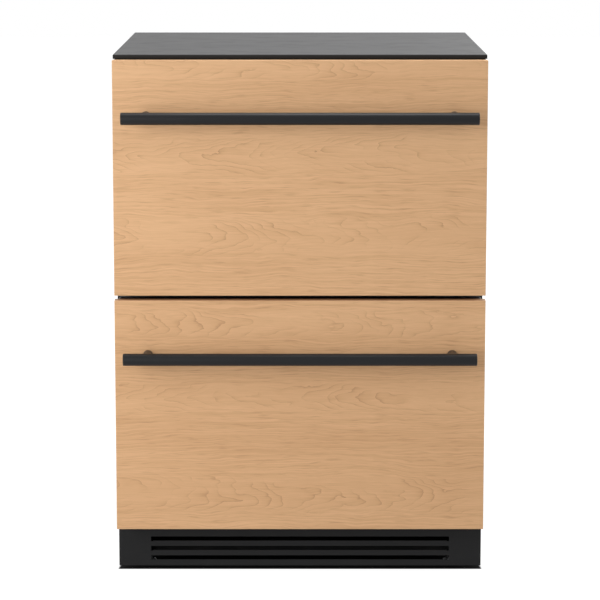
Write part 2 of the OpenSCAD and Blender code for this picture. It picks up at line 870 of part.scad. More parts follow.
// Trough under the evaporator with its drain tube down to the tray
module drip_trough() {
    trough_x = evap_w / 2 - 6;
    trough_y = [evap_y - 3, cavity_back_y - seat_gap];
    trough_wall = 1.5;
    tube_foot_z = can_top_z + 8;
    color("#d9dadb") difference() {
        union() {
            block([-trough_x, trough_x], trough_y, [step_z, step_z + trough_h]);
            translate([drain_x, evap_port_y, tube_foot_z])
                cylinder(r = drain_r, h = step_z - tube_foot_z + trough_wall);
        }
        block(shrink([-trough_x, trough_x], trough_wall), shrink(trough_y, trough_wall),
            [step_z + trough_wall, step_z + trough_h + eps]);
        translate([drain_x, evap_port_y, 0]) cylinder(r = drain_r - trough_wall, h = step_z + trough_h);
    }
}

// Touch controls on the ceiling just inside the opening
module control_module() {
    control_x = 75;
    control_d = 46;
    control_h = 16;
    window_x = 28;
    window_d = 22;
    window_depth = 0.8;
    key_r = 5;
    key_depth = 0.5;
    key_pitch = 18;
    key_edge = 13;
    control_y = case_y + 4;
    middle_y = control_y + control_d / 2;
    face_z = ceiling_z - control_h;
    color("#141517") difference() {
        block([-control_x, control_x], [control_y, control_y + control_d], [face_z, ceiling_z]);
        block([-window_x, window_x], [middle_y - window_d / 2, middle_y + window_d / 2],
            [face_z - eps, face_z + window_depth]);
        for (side = sides, i = [0, 1])
            translate([side * (control_x - key_edge - i * key_pitch), middle_y, face_z - eps])
                cylinder(r = key_r, h = eps + key_depth);
    }
}

module light_bars() {
    light_x = 190;
    light_h = 6;
    light_d = 14;
    upper_light_gap = 60;
    lower_light_gap = 20;
    upper_light_y = case_y + upper_light_gap;
    lower_light_y = case_y + lower_light_gap;
    color("#f6f7f4") {
        block([-light_x, light_x], [upper_light_y, upper_light_y + light_d],
            [ceiling_z - light_h, ceiling_z]);
        block([-light_x, light_x], [lower_light_y, lower_light_y + light_d],
            [opening_top_z(lower) - light_h, opening_top_z(lower)]);
    }
}

// Flanged bush in the rear cover where the supply comes in
module cord_gland() {
    bush_l = 10;
    lip_t = 1.6;
    lip_w = 3;
    barb_w = 1;
    bore_r = 4;
    color("#161617") difference() {
        union() {
            rod(gland_x, rear_y - bush_l, gland_z, gland_r, bush_l);
            rod(gland_x, rear_y, gland_z, gland_r + lip_w, lip_t);
            rod(gland_x, rear_y - bush_l, gland_z, gland_r + barb_w, bush_l - sheet - seat_gap);
        }
        rod(gland_x, rear_y - bush_l - eps, gland_z, bore_r, bush_l + lip_t + 2 * eps);
    }
}

// Round pad, hexagon for the spanner and stem, in one piece
module leg(x, y) {
    hex_r = 10;
    pad_chamfer = 1.5;
    color("#8b8d8f") translate([x, y, 0]) {
        cylinder(r1 = pad_d / 2 - pad_chamfer, r2 = pad_d / 2, h = pad_chamfer);
        translate([0, 0, pad_chamfer]) cylinder(r = pad_d / 2, h = pad_h / 2 - pad_chamfer);
        translate([0, 0, pad_h / 2]) cylinder(r1 = pad_d / 2, r2 = pad_d / 2 - pad_h / 2, h = pad_h / 2);
        cylinder(r = hex_r, h = base_lift - seat_gap, $fn = 6);
        cylinder(r = stem_d / 2, h = leg_h);
    }
}

module leg_front_left() {
    leg(-leg_x, leg_front_y);
}

module leg_front_right() {
    leg(leg_x, leg_front_y);
}

module leg_rear_left() {
    leg(-leg_x, leg_rear_y);
}

module leg_rear_right() {
    leg(leg_x, leg_rear_y);
}

// Ball slides: three nested channels a side, drawn from the wall inwards

// A channel open to the far side between depths x0 and x1, of half height h, its flanges down to s
module channel(x0, x1, h, s) {
    difference() {
        translate([x0, -h]) square([x1 - x0, 2 * h]);
        translate([x0 + web_t, -s]) square([x1 - x0, 2 * s]);
    }
}

module race(x, z) {
    for (side = sides) translate([x, side * z]) circle(r = groove_r);
}

module outer_section() {
    difference() {
        channel(0, outer_depth, slide_h / 2, outer_ball_z + race_gap);
        race(outer_ball_x, outer_ball_z);
    }
}

module middle_section() {
    difference() {
        channel(middle_x, middle_depth, outer_ball_z - race_gap, inner_ball_z + race_gap);
        race(outer_ball_x, outer_ball_z);
        race(inner_ball_x, inner_ball_z);
    }
}

module inner_section() {
    flange_z = inner_ball_z - race_gap;
    difference() {
        translate([inner_x, -flange_z]) square([slide_t - inner_x, 2 * flange_z]);
        translate([inner_x - eps, -flange_z + 2 * web_t])
            square([slide_t - inner_x - web_t + eps, 2 * (flange_z - 2 * web_t)]);
        race(inner_ball_x, inner_ball_z);
    }
}

// Places a slide section on both cavity walls and runs it along Y
module slide_pair(tier, start, l) {
    both_sides() translate([-cavity_x, 0, slide_z(tier)]) upright(start, l) children();
}

module slide_outers(tier) {
    color("#a9acae") slide_pair(tier, slide_y, slide_l) outer_section();
}

module slide_middles(tier) {
    color("#b4b7b9") slide_pair(tier, slide_y, slide_l) middle_section();
}

module slide_inners(tier) {
    color("#bfc2c4") slide_pair(tier, slide_y, slide_l) inner_section();
}

// A strip folded round three sides of the channel it rides on, holding a row of balls above and below
module cages(tier, x0, x1, ball_x, ball_z) {
    balls = floor(cage_l / ball_pitch);
    start = slide_y + cage_start;
    strip_z = ball_z + cage_t / 2;
    color("#d2d4d5") {
        slide_pair(tier, start, cage_l) difference() {
            translate([x0, -strip_z]) square([x1 - x0, 2 * strip_z]);
            translate([x0 + cage_web_t, cage_t - strip_z]) square([x1 - x0, 2 * (strip_z - cage_t)]);
        }
        both_sides() for (i = [0 : balls - 1], side = sides)
            translate([ball_x - cavity_x, start + (i + 0.5) * ball_pitch, slide_z(tier) + side * ball_z])
                sphere(r = ball_r);
    }
}

module outer_cages(tier) {
    cages(tier, outer_cage_x, outer_cage_depth, outer_ball_x, outer_ball_z);
}

module inner_cages(tier) {
    cages(tier, inner_cage_x, inner_cage_depth, inner_ball_x, inner_ball_z);
}

// Drawers

module wood_panel(tier) {
    head_room = screw_head_h + head_gap;
    color("#d6a97f") difference() {
        block([-half_w, half_w], [face_y, panel_back_y], [panel_z(tier), panel_z(tier) + panel_h]);
        for (side = sides) {
            rod(side * post_span / 2, face_y - eps, bar_z(tier), screw_d / 2 + hole_gap, panel_t + 2 * eps);
            rod(side * post_span / 2, panel_back_y - head_room, bar_z(tier), screw_head_d / 2 + head_gap,
                head_room + eps);
        }
    }
}

module handle_bar(tier) {
    bar_y = face_y - bar_reach;
    r = bar_d / 2;
    color("#2d2d2f") difference() {
        translate([-bar_l / 2, bar_y, bar_z(tier)]) rotate([0, 90, 0]) {
            cylinder(r1 = r - bar_chamfer, r2 = r, h = bar_chamfer);
            translate([0, 0, bar_chamfer]) cylinder(r = r, h = bar_l - 2 * bar_chamfer);
            translate([0, 0, bar_l - bar_chamfer]) cylinder(r1 = r, r2 = r - bar_chamfer, h = bar_chamfer);
        }
        for (side = sides)
            rod(side * post_span / 2, bar_y + r - screw_grip - head_gap, bar_z(tier),
                screw_d / 2 + run_gap, bar_d);
    }
}

// Posts cut to the bar's curve, each with the screw that runs through it from behind the panel
module handle_posts(tier) {
    bar_y = face_y - bar_reach;
    head_y = panel_back_y - screw_head_h - head_gap;
    tip_y = bar_y + bar_d / 2 - screw_grip;
    color("#2d2d2f") for (side = sides) {
        difference() {
            rod(side * post_span / 2, bar_y, bar_z(tier), post_d / 2, bar_reach);
            translate([side * post_span / 2 - post_d, bar_y, bar_z(tier)]) rotate([0, 90, 0])
                cylinder(r = bar_d / 2 + run_gap, h = 2 * post_d);
            rod(side * post_span / 2, bar_y - eps, bar_z(tier), screw_d / 2 + hole_gap, bar_reach + 2 * eps);
        }
        rod(side * post_span / 2, tip_y, bar_z(tier), screw_d / 2, head_y - tip_y + eps);
        rod(side * post_span / 2, head_y, bar_z(tier), screw_head_d / 2, screw_head_h);
    }
}

function front_z(tier) = [panel_z(tier) + front_inset, panel_z(tier) + panel_h - front_inset];
function dike_z(tier) = [opening_z(tier) + dike_margin, opening_top_z(tier) - dike_margin];

// Steel pan behind the wood, open towards the case
module front_pan(tier) {
    pan_l = front_t - liner_t;
    color("#26272a") difference() {
        upright(panel_back_y, pan_l) rounded_rect([-front_x, front_x], front_z(tier), front_r);
        upright(panel_back_y + sheet, pan_l)
            rounded_rect([sheet - front_x, front_x - sheet], shrink(front_z(tier), sheet), front_r - sheet);
    }
}

// Inner skin that closes the pan, with a raised middle that reaches towards the opening
module front_liner(tier) {
    color("#eceeee") difference() {
        union() {
            upright(front_back_y - liner_t, liner_t)
                rounded_rect([-front_x, front_x], front_z(tier), front_r);
            upright(front_back_y, dike_t) rounded_rect([-dike_x, dike_x], dike_z(tier), dike_r);
        }
        dike_core(tier);
    }
}

// Foam that fills the pan and the raised middle
module front_core(tier) {
    core_y = panel_back_y + sheet;
    color("#e8d9a0") {
        upright(core_y, front_back_y - liner_t - core_y)
            rounded_rect([sheet - front_x, front_x - sheet], shrink(front_z(tier), sheet), front_r - sheet);
        dike_core(tier);
    }
}

module dike_core(tier) {
    upright(front_back_y - liner_t, dike_t)
        rounded_rect([liner_t - dike_x, dike_x - liner_t], shrink(dike_z(tier), liner_t), dike_r - liner_t);
}

// Hollow loop in three steps: foot, bellows and magnet strip
module gasket(tier) {
    z0 = panel_z(tier) + front_inset + gasket_edge;
    z1 = panel_z(tier) + panel_h - front_inset - gasket_edge;
    x1 = front_x - gasket_edge;
    foot_t = 2;
    magnet_t = 2.5;
    waist = 2.5;
    corner_r = 4;
    steps = [
        [0, foot_t, 0],
        [foot_t, gasket_t - seat_gap - magnet_t, waist],
        [gasket_t - seat_gap - magnet_t, gasket_t - seat_gap, 0]
    ];
    color("#3f4144") for (step = steps)
        upright(front_back_y + step[0], step[1] - step[0]) difference() {
            rounded_rect([step[2] - x1, x1 - step[2]], [z0 + step[2], z1 - step[2]], corner_r);
            rounded_rect([gasket_w - step[2] - x1, x1 - gasket_w + step[2]],
                [z0 + gasket_w - step[2], z1 - gasket_w + step[2]], corner_r);
        }
}

// Bin with round corners, ribs on its floor and a rim that hangs on the drawer frame
module bin(tier) {
    z0 = opening_z(tier) + bin_lift;
    z1 = rim_z(tier);
    y1 = bin_y + bin_d(tier);
    rib_pitch = 2 * (bin_x - bin_r) / (rib_count + 1);
    color("#f0f1f0") {
        difference() {
            union() {
                translate([0, 0, z0]) linear_extrude(z1 - z0)
                    rounded_rect([-bin_x, bin_x], [bin_y, y1], bin_r);
                translate([0, 0, z1 - rim_t]) linear_extrude(rim_t)
                    rounded_rect([-rim_x, rim_x], [bin_y, y1], bin_r);
            }
            translate([0, 0, z0 + bin_wall]) linear_extrude(z1 - z0)
                rounded_rect([-bin_x + bin_wall, bin_x - bin_wall], [bin_y + bin_wall, y1 - bin_wall],
                    bin_r - bin_wall);
        }
        for (i = [1 : rib_count])
            block([-bin_x + bin_r + i * rib_pitch - rib_w / 2, -bin_x + bin_r + i * rib_pitch + rib_w / 2],
                [bin_y + bin_r, y1 - bin_r], [z0 + bin_wall - rib_sink, z0 + bin_wall + rib_h]);
    }
}

// Steel rails on the slides, tied by a bar behind the bin, with tabs on the insulated front
module drawer_frame(tier) {
    top = rim_z(tier) - rim_t;
    foot = slide_z(tier) - rail_drop;
    y1 = bin_y + bin_d(tier) + crossbar_gap;
    color("#9fa2a4") {
        both_sides() {
            block([-slide_in_x, -rail_x], [front_back_y, y1], [foot, top]);
            block([-slide_in_x, rim_lap - slide_in_x], [bin_y, y1], [top - frame_t, top]);
            block([-slide_in_x, tab_w - slide_in_x], [front_back_y, front_back_y + frame_t], [foot, top]);
        }
        block([-slide_in_x, slide_in_x], [y1, y1 + frame_t], [top - crossbar_h, top]);
    }
}

module upper_slide_outers() { slide_outers(upper); }
module upper_slide_middles() { slide_middles(upper); }
module upper_slide_inners() { slide_inners(upper); }
module upper_outer_cages() { outer_cages(upper); }
module upper_inner_cages() { inner_cages(upper); }
module lower_slide_outers() { slide_outers(lower); }
module lower_slide_middles() { slide_middles(lower); }
module lower_slide_inners() { slide_inners(lower); }
module lower_outer_cages() { outer_cages(lower); }
module lower_inner_cages() { inner_cages(lower); }

module upper_panel() { wood_panel(upper); }
module upper_handle_bar() { handle_bar(upper); }
module upper_handle_posts() { handle_posts(upper); }
module upper_front_pan() { front_pan(upper); }
module upper_front_core() { front_core(upper); }
module upper_front_liner() { front_liner(upper); }
module upper_gasket() { gasket(upper); }
module upper_bin() { bin(upper); }
module upper_drawer_frame() { drawer_frame(upper); }
module lower_panel() { wood_panel(lower); }
module lower_handle_bar() { handle_bar(lower); }
module lower_handle_posts() { handle_posts(lower); }
module lower_front_pan() { front_pan(lower); }
module lower_front_core() { front_core(lower); }
module lower_front_liner() { front_liner(lower); }
module lower_gasket() { gasket(lower); }
module lower_bin() { bin(lower); }
module lower_drawer_frame() { drawer_frame(lower); }

side_panel_left();
side_panel_right();
top_panel();
back_panel();
rear_cover();
base_pan();
bottom_plate();
front_frame();
mullion_rail();
inner_liner();
insulation();
kick_grille();
compressor();
compressor_grommets();
drain_pan();
condenser_coil();
fan_shroud();
condenser_fan_motor();
condenser_fan_blades();
refrigerant_lines();
evaporator_coil();
evaporator_cover();
evaporator_fan_motor();
evaporator_fan_blades();
drip_trough();
control_module();
light_bars();
cord_gland();
leg_front_left();
leg_front_right();
leg_rear_left();
leg_rear_right();
upper_slide_outers();
upper_slide_middles();
upper_slide_inners();
upper_outer_cages();
upper_inner_cages();
lower_slide_outers();
lower_slide_middles();
lower_slide_inners();
lower_outer_cages();
lower_inner_cages();
upper_panel();
upper_handle_bar();
upper_handle_posts();
upper_front_pan();
upper_front_core();
upper_front_liner();
upper_gasket();
upper_bin();
upper_drawer_frame();
lower_panel();
lower_handle_bar();
lower_handle_posts();
lower_front_pan();
lower_front_core();
lower_front_liner();
lower_gasket();
lower_bin();
lower_drawer_frame();
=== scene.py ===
import json
import math

import bmesh
import bpy
from mathutils import Matrix, Vector

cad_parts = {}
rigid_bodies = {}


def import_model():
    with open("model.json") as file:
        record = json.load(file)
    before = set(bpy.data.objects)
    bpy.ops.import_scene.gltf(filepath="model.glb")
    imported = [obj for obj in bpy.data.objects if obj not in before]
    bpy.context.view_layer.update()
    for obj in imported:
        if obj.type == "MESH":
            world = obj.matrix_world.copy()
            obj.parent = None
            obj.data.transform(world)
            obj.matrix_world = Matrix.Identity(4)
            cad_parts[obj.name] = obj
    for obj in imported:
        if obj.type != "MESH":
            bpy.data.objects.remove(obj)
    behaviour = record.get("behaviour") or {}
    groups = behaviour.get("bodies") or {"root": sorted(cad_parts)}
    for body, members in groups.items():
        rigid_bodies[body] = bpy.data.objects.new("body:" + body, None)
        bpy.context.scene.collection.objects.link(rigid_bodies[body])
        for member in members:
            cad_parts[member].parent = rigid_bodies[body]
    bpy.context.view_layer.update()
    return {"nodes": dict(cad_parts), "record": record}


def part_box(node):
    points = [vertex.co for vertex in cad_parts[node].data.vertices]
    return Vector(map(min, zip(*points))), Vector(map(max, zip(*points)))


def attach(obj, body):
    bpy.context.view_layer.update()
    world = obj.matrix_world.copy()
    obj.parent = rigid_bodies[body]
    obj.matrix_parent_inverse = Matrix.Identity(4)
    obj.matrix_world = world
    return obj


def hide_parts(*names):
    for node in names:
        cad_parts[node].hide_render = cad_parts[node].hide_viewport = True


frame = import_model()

nodes = frame["nodes"]
record = frame["record"]
bodyOf = {node: body for body, members in record["behaviour"]["bodies"].items() for node in members}
slotOf = {part["node"]: part["material_slot"] for part in record["subparts"]}
tiers = ("upper", "lower")
print("frame loaded:", len(nodes), "nodes")


def newObject(name, data):
    obj = bpy.data.objects.new(name, data)
    bpy.context.scene.collection.objects.link(obj)
    return obj


# Camera, lights and floor

camera = {
    "place": (0.0, -4.5815, 1.162),
    "tiltDown": 9.19,
    "lens": 160.3,
}
eye = newObject("camera", bpy.data.cameras.new("camera"))
eye.data.lens = camera["lens"]
eye.location = camera["place"]
eye.rotation_euler = (math.radians(90 - camera["tiltDown"]), 0, 0)
bpy.context.scene.camera = eye
bpy.context.scene.view_settings.view_transform = "Standard"

lighting = {
    "room": 0.55,       # light of the room on the object
    "seen": 1.0,        # what the camera, gloss and glass see of it
    "lamps": {
        # name: (place, aimed at, size, watts)
        "key": ((-2.3, -3.0, 0.85), (0.0, -0.2, 0.64), 2.6, 62),
        "side": ((-1.35, -1.10, 0.72), (0.0, -0.3, 0.6), 1.2, 9.5),
        "fill": ((2.8, -2.2, 1.2), (0.0, -0.2, 0.6), 2.6, 12),
        "over": ((0.1, 0.2, 3.2), (0.0, 0.0, 0.6), 1.6, 46),
        "rear": ((1.8, 3.0, 1.8), (0.0, 0.2, 0.5), 2.6, 30),
    },
}


# Shader and geometry nodes written as Python expressions

class Wire:
    def __init__(self, maker, socket):
        self.maker = maker
        self.socket = socket

    def math(self, operation, *others):
        values = {i + 1: other for i, other in enumerate(others)}
        return self.maker.make(self.maker.mathKind, {"operation": operation}, {0: self, **values})

    def flipped(self, operation, other):
        return self.maker.make(self.maker.mathKind, {"operation": operation}, {0: other, 1: self})

    def __add__(self, other):
        return self.math("ADD", other)

    def __sub__(self, other):
        return self.math("SUBTRACT", other)

    def __rsub__(self, other):
        return self.flipped("SUBTRACT", other)

    def __mul__(self, other):
        return self.math("MULTIPLY", other)

    def __truediv__(self, other):
        return self.math("DIVIDE", other)

    def __pow__(self, other):
        return self.math("POWER", other)

    def __rtruediv__(self, other):
        return self.flipped("DIVIDE", other)


class NodeMaker:
    mathKind = "ShaderNodeMath"

    def make(self, kind, settings=None, values=None, out=0):
        node = self.tree.nodes.new(kind)
        for key, value in (settings or {}).items():
            setattr(node, key, value)
        for key, value in (values or {}).items():
            socket = node.inputs[key]
            if isinstance(value, Wire):
                self.tree.links.new(value.socket, socket)
            else:
                socket.default_value = value
        if node.outputs:
            return Wire(self, node.outputs[out])

    def seen(self):
        # 1 for what the camera, gloss and glass see, 0 for the light that falls on the object
        rays = self.make("ShaderNodeLightPath")
        ends = rays.socket.node.outputs
        either = rays + Wire(self, ends["Is Glossy Ray"]) + Wire(self, ends["Is Transmission Ray"])
        return either.math("MINIMUM", 1.0)


def rgba(color, factor=1.0):
    return (*[min(1.0, channel * factor) for channel in color], 1.0)


class Finish(NodeMaker):
    def __init__(self, name):
        self.material = bpy.data.materials.new(name)
        self.material.use_nodes = True
        self.tree = self.material.node_tree
        self.tree.nodes.clear()

    def place(self, stretch=(1, 1, 1)):
        point = self.make("ShaderNodeTexCoord", out=3)
        if stretch == (1, 1, 1):
            return point
        return self.stretched(point, stretch)

    def stretched(self, vector, stretch):
        return self.make("ShaderNodeVectorMath", {"operation": "MULTIPLY"}, {0: vector, 1: stretch})

    def part(self, vector, axis):
        return self.make("ShaderNodeSeparateXYZ", None, {0: vector}, "XYZ".index(axis))

    def noise(self, vector, scale, detail=2.0, rough=0.5):
        values = {"Vector": vector, "Scale": scale, "Detail": detail, "Roughness": rough}
        return self.make("ShaderNodeTexNoise", None, values)

    def cells(self, vector, scale, out="Color"):
        return self.make("ShaderNodeTexVoronoi", None, {"Vector": vector, "Scale": scale}, out)

    def step(self, value, low, high, toLow=0.0, toHigh=1.0):
        values = {"Value": value, "From Min": low, "From Max": high, "To Min": toLow, "To Max": toHigh}
        return self.make("ShaderNodeMapRange", {"interpolation_type": "SMOOTHSTEP"}, values)

    def mix(self, factor, a, b):
        return self.make("ShaderNodeMix", {"data_type": "RGBA"}, {0: factor, 6: a, 7: b}, 2)

    def bump(self, height, distance, strength=1.0):
        values = {"Height": height, "Distance": distance, "Strength": strength}
        return self.make("ShaderNodeBump", None, values)

    def close(self, **sockets):
        values = {key.replace("_", " "): value for key, value in sockets.items()}
        shader = self.make("ShaderNodeBsdfPrincipled", None, values)
        self.make("ShaderNodeOutputMaterial", None, {"Surface": shader})
        return self.material


class GrowTree(NodeMaker):
    def __init__(self, name, sizes):
        self.tree = bpy.data.node_groups.new(name, "GeometryNodeTree")
        ends = self.tree.interface
        ends.new_socket("Base", in_out="INPUT", socket_type="NodeSocketGeometry")
        ends.new_socket("Grown", in_out="OUTPUT", socket_type="NodeSocketGeometry")
        self.ids = {}
        for key, kind in {**sizes, "Finish": "Material"}.items():
            socket = ends.new_socket(key, in_out="INPUT", socket_type="NodeSocket" + kind)
            self.ids[key] = socket.identifier
        self.start = self.tree.nodes.new("NodeGroupInput")

    def size(self, key):
        return Wire(self, self.start.outputs[key])

    def close(self, instances):
        real = self.make("GeometryNodeRealizeInstances", None, {0: instances})
        values = {"Geometry": real, "Material": self.size("Finish")}
        done = self.make("GeometryNodeSetMaterial", None, values)
        end = self.tree.nodes.new("NodeGroupOutput")
        self.tree.links.new(done.socket, end.inputs[0])
        return self

    def grow(self, name, base, finish, **sizes):
        obj = newObject(name, base)
        modifier = obj.modifiers.new("grow", "NODES")
        modifier.node_group = self.tree
        for key, value in {**sizes, "Finish": finish}.items():
            modifier[self.ids[key]] = value
        graph = bpy.context.evaluated_depsgraph_get()
        mesh = bpy.data.meshes.new_from_object(obj.evaluated_get(graph))
        obj.modifiers.clear()
        obj.data = mesh
        return obj


# Finishes

def veneerFinish():
    veneer = {
        "pale": (0.768, 0.470, 0.253),
        "deep": (0.590, 0.330, 0.162),
        "line": (0.300, 0.130, 0.052),
        "ring": 0.0021,
        # cathedral figures: height, reach above and below, depth of the cut, lean along the grain
        "figures": (
            (0.844, 0.016, 0.040, 0.060),
            (0.704, 0.034, 0.080, -0.056),
            (0.572, 0.036, 0.120, 0.064),
            (0.426, 0.024, 0.070, 0.060),
            (0.304, 0.028, 0.080, -0.050),
            (0.140, 0.034, 0.120, 0.062),
        ),
    }
    f = Finish("maple_veneer")
    point = f.place()
    x = f.part(point, "X")
    slow = f.noise(f.place((1.7, 1.7, 6)), 1.0, 2) - 0.5
    wave = f.noise(f.place((9, 9, 26)), 1.0, 2) - 0.5
    # depth counts as height, so that the grain runs on along the edges
    z = f.part(point, "Z") + f.part(point, "Y") + slow * 0.030 + wave * 0.018
    rings, nearest = None, None
    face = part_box("upper_panel")[0].y
    for height, reach, depth, lean in veneer["figures"]:
        rise = z - (height + face)
        square = rise * rise
        bow = (square + depth * depth).math("SQRT") + (x * lean - depth)
        rings = bow if rings is None else rings.math("SMOOTH_MIN", bow, 0.004)
        near = square / (reach * reach)
        nearest = near if nearest is None else nearest.math("MINIMUM", near)
    hills = f.noise(f.place((9, 9, 26)), 1.0, 2) - 0.5
    wobble = f.noise(f.place((46, 46, 90)), 1.0, 2) - 0.5
    rings = rings + hills * 0.0125 + wobble * 0.0019
    phase = (rings / veneer["ring"]).math("FRACT")
    heart = f.step(nearest, 0.35, 1.10, 1.0, 0.05)
    patchy = f.step(f.noise(f.place((9, 9, 30)), 1.0, 2), 0.40, 0.62, 0.05, 1.0)
    late = phase ** 12
    # the short dashes wave along the grain
    sway = f.noise(f.place((20, 20, 30)), 1.0, 2) - 0.5
    flow = f.make("ShaderNodeCombineXYZ", None, {"X": x, "Z": z + sway * 0.004})
    dash = f.step(f.noise(f.stretched(flow, (26, 1, 560)), 1.0, 2), 0.52, 0.70)
    pale = f.step(f.noise(f.stretched(flow, (30, 1, 420)), 1.0, 2), 0.54, 0.70)
    streaks = f.step(f.noise(f.stretched(flow, (5, 1, 430)), 1.0, 2), 0.32, 0.68)
    band = f.step(f.noise(f.place((1.3, 1.3, 15)), 1.0, 4), 0.30, 0.70)
    calm = 1.0 - heart * 0.6
    # painted shade and light: the lower board is a little darker and the upper a little paler, standing in
    # for light that falls from above
    paintedBoardShade = f.step(f.part(point, "Z"), 0.40, 0.56, 0.07, -0.07)
    base = f.mix(band * 0.26 + paintedBoardShade + streaks * calm * 0.52 + phase * heart * patchy * 0.27 - pale * 0.16,
                 rgba(veneer["pale"]), rgba(veneer["deep"]))
    lines = late * heart * patchy * 0.45 + dash * calm * 0.27
    color = f.mix(lines, base, rgba(veneer["line"]))
    rough = dash * 0.06 + late * 0.05 + 0.42
    normal = f.bump(lines * -1.0, 0.00004, 0.5)
    return f.close(Base_Color=color, Roughness=rough, Normal=normal, Specular_IOR_Level=0.3)


def paintFinish(name, color, rough, peel=0.00003, peelSize=420, tint=0.10, dust=0.05, shine=0.5, fold=None):
    f = Finish(name)
    cloud = f.noise(f.place(), 7.0, 3)
    skin = f.noise(f.place(), peelSize, 2)
    settled = f.step(f.noise(f.place((1, 1, 2)), 23.0, 4), 0.45, 0.75)
    shade = f.mix(cloud, rgba(color, 1 - tint), rgba(color, 1 + tint))
    if fold:
        # painted shade: darker below this height, with a short blend
        height, blend, paintedShade = fold
        shadeMaskBelow = f.step(f.part(f.place(), "Z"), height - blend, height, 1.0, 0.0)
        shade = f.mix(shadeMaskBelow, shade, rgba(paintedShade))
    return f.close(
        Base_Color=f.mix(settled * dust, shade, rgba((0.5, 0.48, 0.45))),
        Roughness=cloud * 0.08 + settled * 0.06 + (rough - 0.07),
        Specular_IOR_Level=shine,
        Normal=f.bump(skin, peel, 0.6),
    )


def galvanisedFinish():
    f = Finish("galvanised_steel")
    wide = f.place((1, 1, 0.8))
    wobble = f.noise(wide, 30.0, 2, 0.6)
    bent = f.make("ShaderNodeVectorMath", {"operation": "ADD"}, {0: wide, 1: wobble * 0.02})
    spangle = f.part(f.cells(bent, 150.0), "X")
    cloud = f.noise(f.place(), 6.0, 3)
    patches = spangle * 0.7 + cloud * 0.3
    return f.close(
        Base_Color=f.mix(patches, rgba((0.37, 0.385, 0.395)), rgba((0.50, 0.515, 0.525))),
        Roughness=spangle * 0.16 + cloud * 0.1 + 0.30,
        Metallic=0.85,
        Normal=f.bump(spangle, 0.00002, 0.4),
    )


def drawnMetalFinish(name, color, along, rough=0.26, spots=0.0, spotColor=(0.2, 0.12, 0.06)):
    f = Finish(name)
    stretch = tuple(8.0 if axis == along else 900.0 for axis in "XYZ")
    scratches = f.noise(f.place(stretch), 1.0, 2)
    cloud = f.noise(f.place(), 16.0, 3)
    stain = f.step(f.noise(f.place(), 60.0, 4), 0.55, 0.75)
    shade = f.mix(scratches * 0.6 + cloud * 0.4, rgba(color, 0.86), rgba(color, 1.1))
    return f.close(
        Base_Color=f.mix(stain * spots, shade, rgba(spotColor)),
        Roughness=scratches * 0.14 + cloud * 0.08 + stain * spots * 0.3 + (rough - 0.1),
        Metallic=1.0,
        Normal=f.bump(scratches, 0.000008, 0.5),
    )


def plasticFinish(name, color, rough, grain=0.00002, grainSize=1300, tint=0.05, milky=0.0):
    f = Finish(name)
    cloud = f.noise(f.place(), 5.0, 2)
    spark = f.cells(f.place(), grainSize, "Distance")
    flow = f.noise(f.place((3, 3, 30)), 1.0, 2)
    return f.close(
        Base_Color=f.mix(cloud * 0.7 + flow * 0.3, rgba(color, 1 - tint), rgba(color, 1 + tint)),
        Roughness=cloud * 0.07 + flow * 0.05 + (rough - 0.06),
        Subsurface_Weight=milky,
        Subsurface_Scale=0.003,
        Normal=f.bump(spark, grain, 0.6),
    )


def foamFinish():
    f = Finish("foam_core")
    bubbles = f.cells(f.place(), 700.0, "Distance")
    cloud = f.noise(f.place(), 18.0, 3)
    return f.close(
        Base_Color=f.mix(cloud, rgba((0.72, 0.60, 0.34)), rgba((0.84, 0.75, 0.48))),
        Roughness=bubbles * 0.2 + 0.75,
        Normal=f.bump(bubbles, 0.0003, 0.8),
    )


# painted shade on the top's folded front edge: where it starts, the blend, and the deeper colour painted
# there for its shade
topFoldShade = (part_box("top_panel")[1].z - 0.0006, 0.0005, (0.010, 0.010, 0.010))
finishes = {
    "maple": veneerFinish(),
    "grey_paint": paintFinish("top_satin_grey", (0.050, 0.050, 0.051), 0.55, 0.00001,
                              tint=0.04, dust=0.004, shine=0.2, fold=topFoldShade),
    "black_paint": paintFinish("case_satin_black", (0.0135, 0.0135, 0.0140), 0.46,
                               dust=0.004, shine=0.13),
    "handle_black": paintFinish("bar_satin_black", (0.0135, 0.0135, 0.0145), 0.36,
                                peelSize=700, dust=0.0, shine=0.17),
    "zinc": galvanisedFinish(),
    "slide_steel": drawnMetalFinish("slide_bright_zinc", (0.62, 0.63, 0.64), "Y"),
    "white_plastic": plasticFinish("liner_white", (0.80, 0.81, 0.80), 0.42),
    "bin_plastic": plasticFinish("bin_gloss_white", (0.83, 0.84, 0.83), 0.22, grain=0.000006, milky=0.08),
    "foam": foamFinish(),
    "black_plastic": plasticFinish("moulded_black", (0.022, 0.022, 0.023), 0.52, grain=0.00004),
    "control_plastic": plasticFinish("control_gloss_black", (0.012, 0.012, 0.014), 0.14, grain=0.000003),
    "light_diffuser": plasticFinish("opal_diffuser", (0.88, 0.88, 0.85), 0.36, milky=0.3),
    "compressor_black": paintFinish("compressor_enamel", (0.014, 0.014, 0.015), 0.24,
                                    0.00008, 160, dust=0.08),
    "black_rubber": plasticFinish("grommet_rubber", (0.020, 0.020, 0.020), 0.72,
                                  grain=0.00005, grainSize=900),
    "gasket_grey": plasticFinish("gasket_rubber", (0.055, 0.057, 0.060), 0.62,
                                 grain=0.00003, grainSize=1600),
    "coil_aluminium": drawnMetalFinish("fin_aluminium", (0.68, 0.69, 0.70), "Z", 0.34),
    "copper": drawnMetalFinish("copper_line", (0.80, 0.42, 0.26), "Z", 0.32, spots=0.55),
    "fan_plastic": plasticFinish("fan_nylon", (0.66, 0.67, 0.66), 0.45),
    "motor_grey": paintFinish("motor_grey", (0.12, 0.125, 0.13), 0.40, dust=0.06),
}
# painted shade: the base pan gets a flat black, deeper than the case's, so that what shows through the kick
# plate's slots reads as shade
pieceFinishes = {
    "base_pan": paintFinish("pan_black_painted_shade", (0.008, 0.008, 0.008), 0.85, dust=0.01, shine=0.03),
}


def finishOf(node, slotName=None):
    return pieceFinishes.get(node) or finishes[slotName or slotOf[node]]


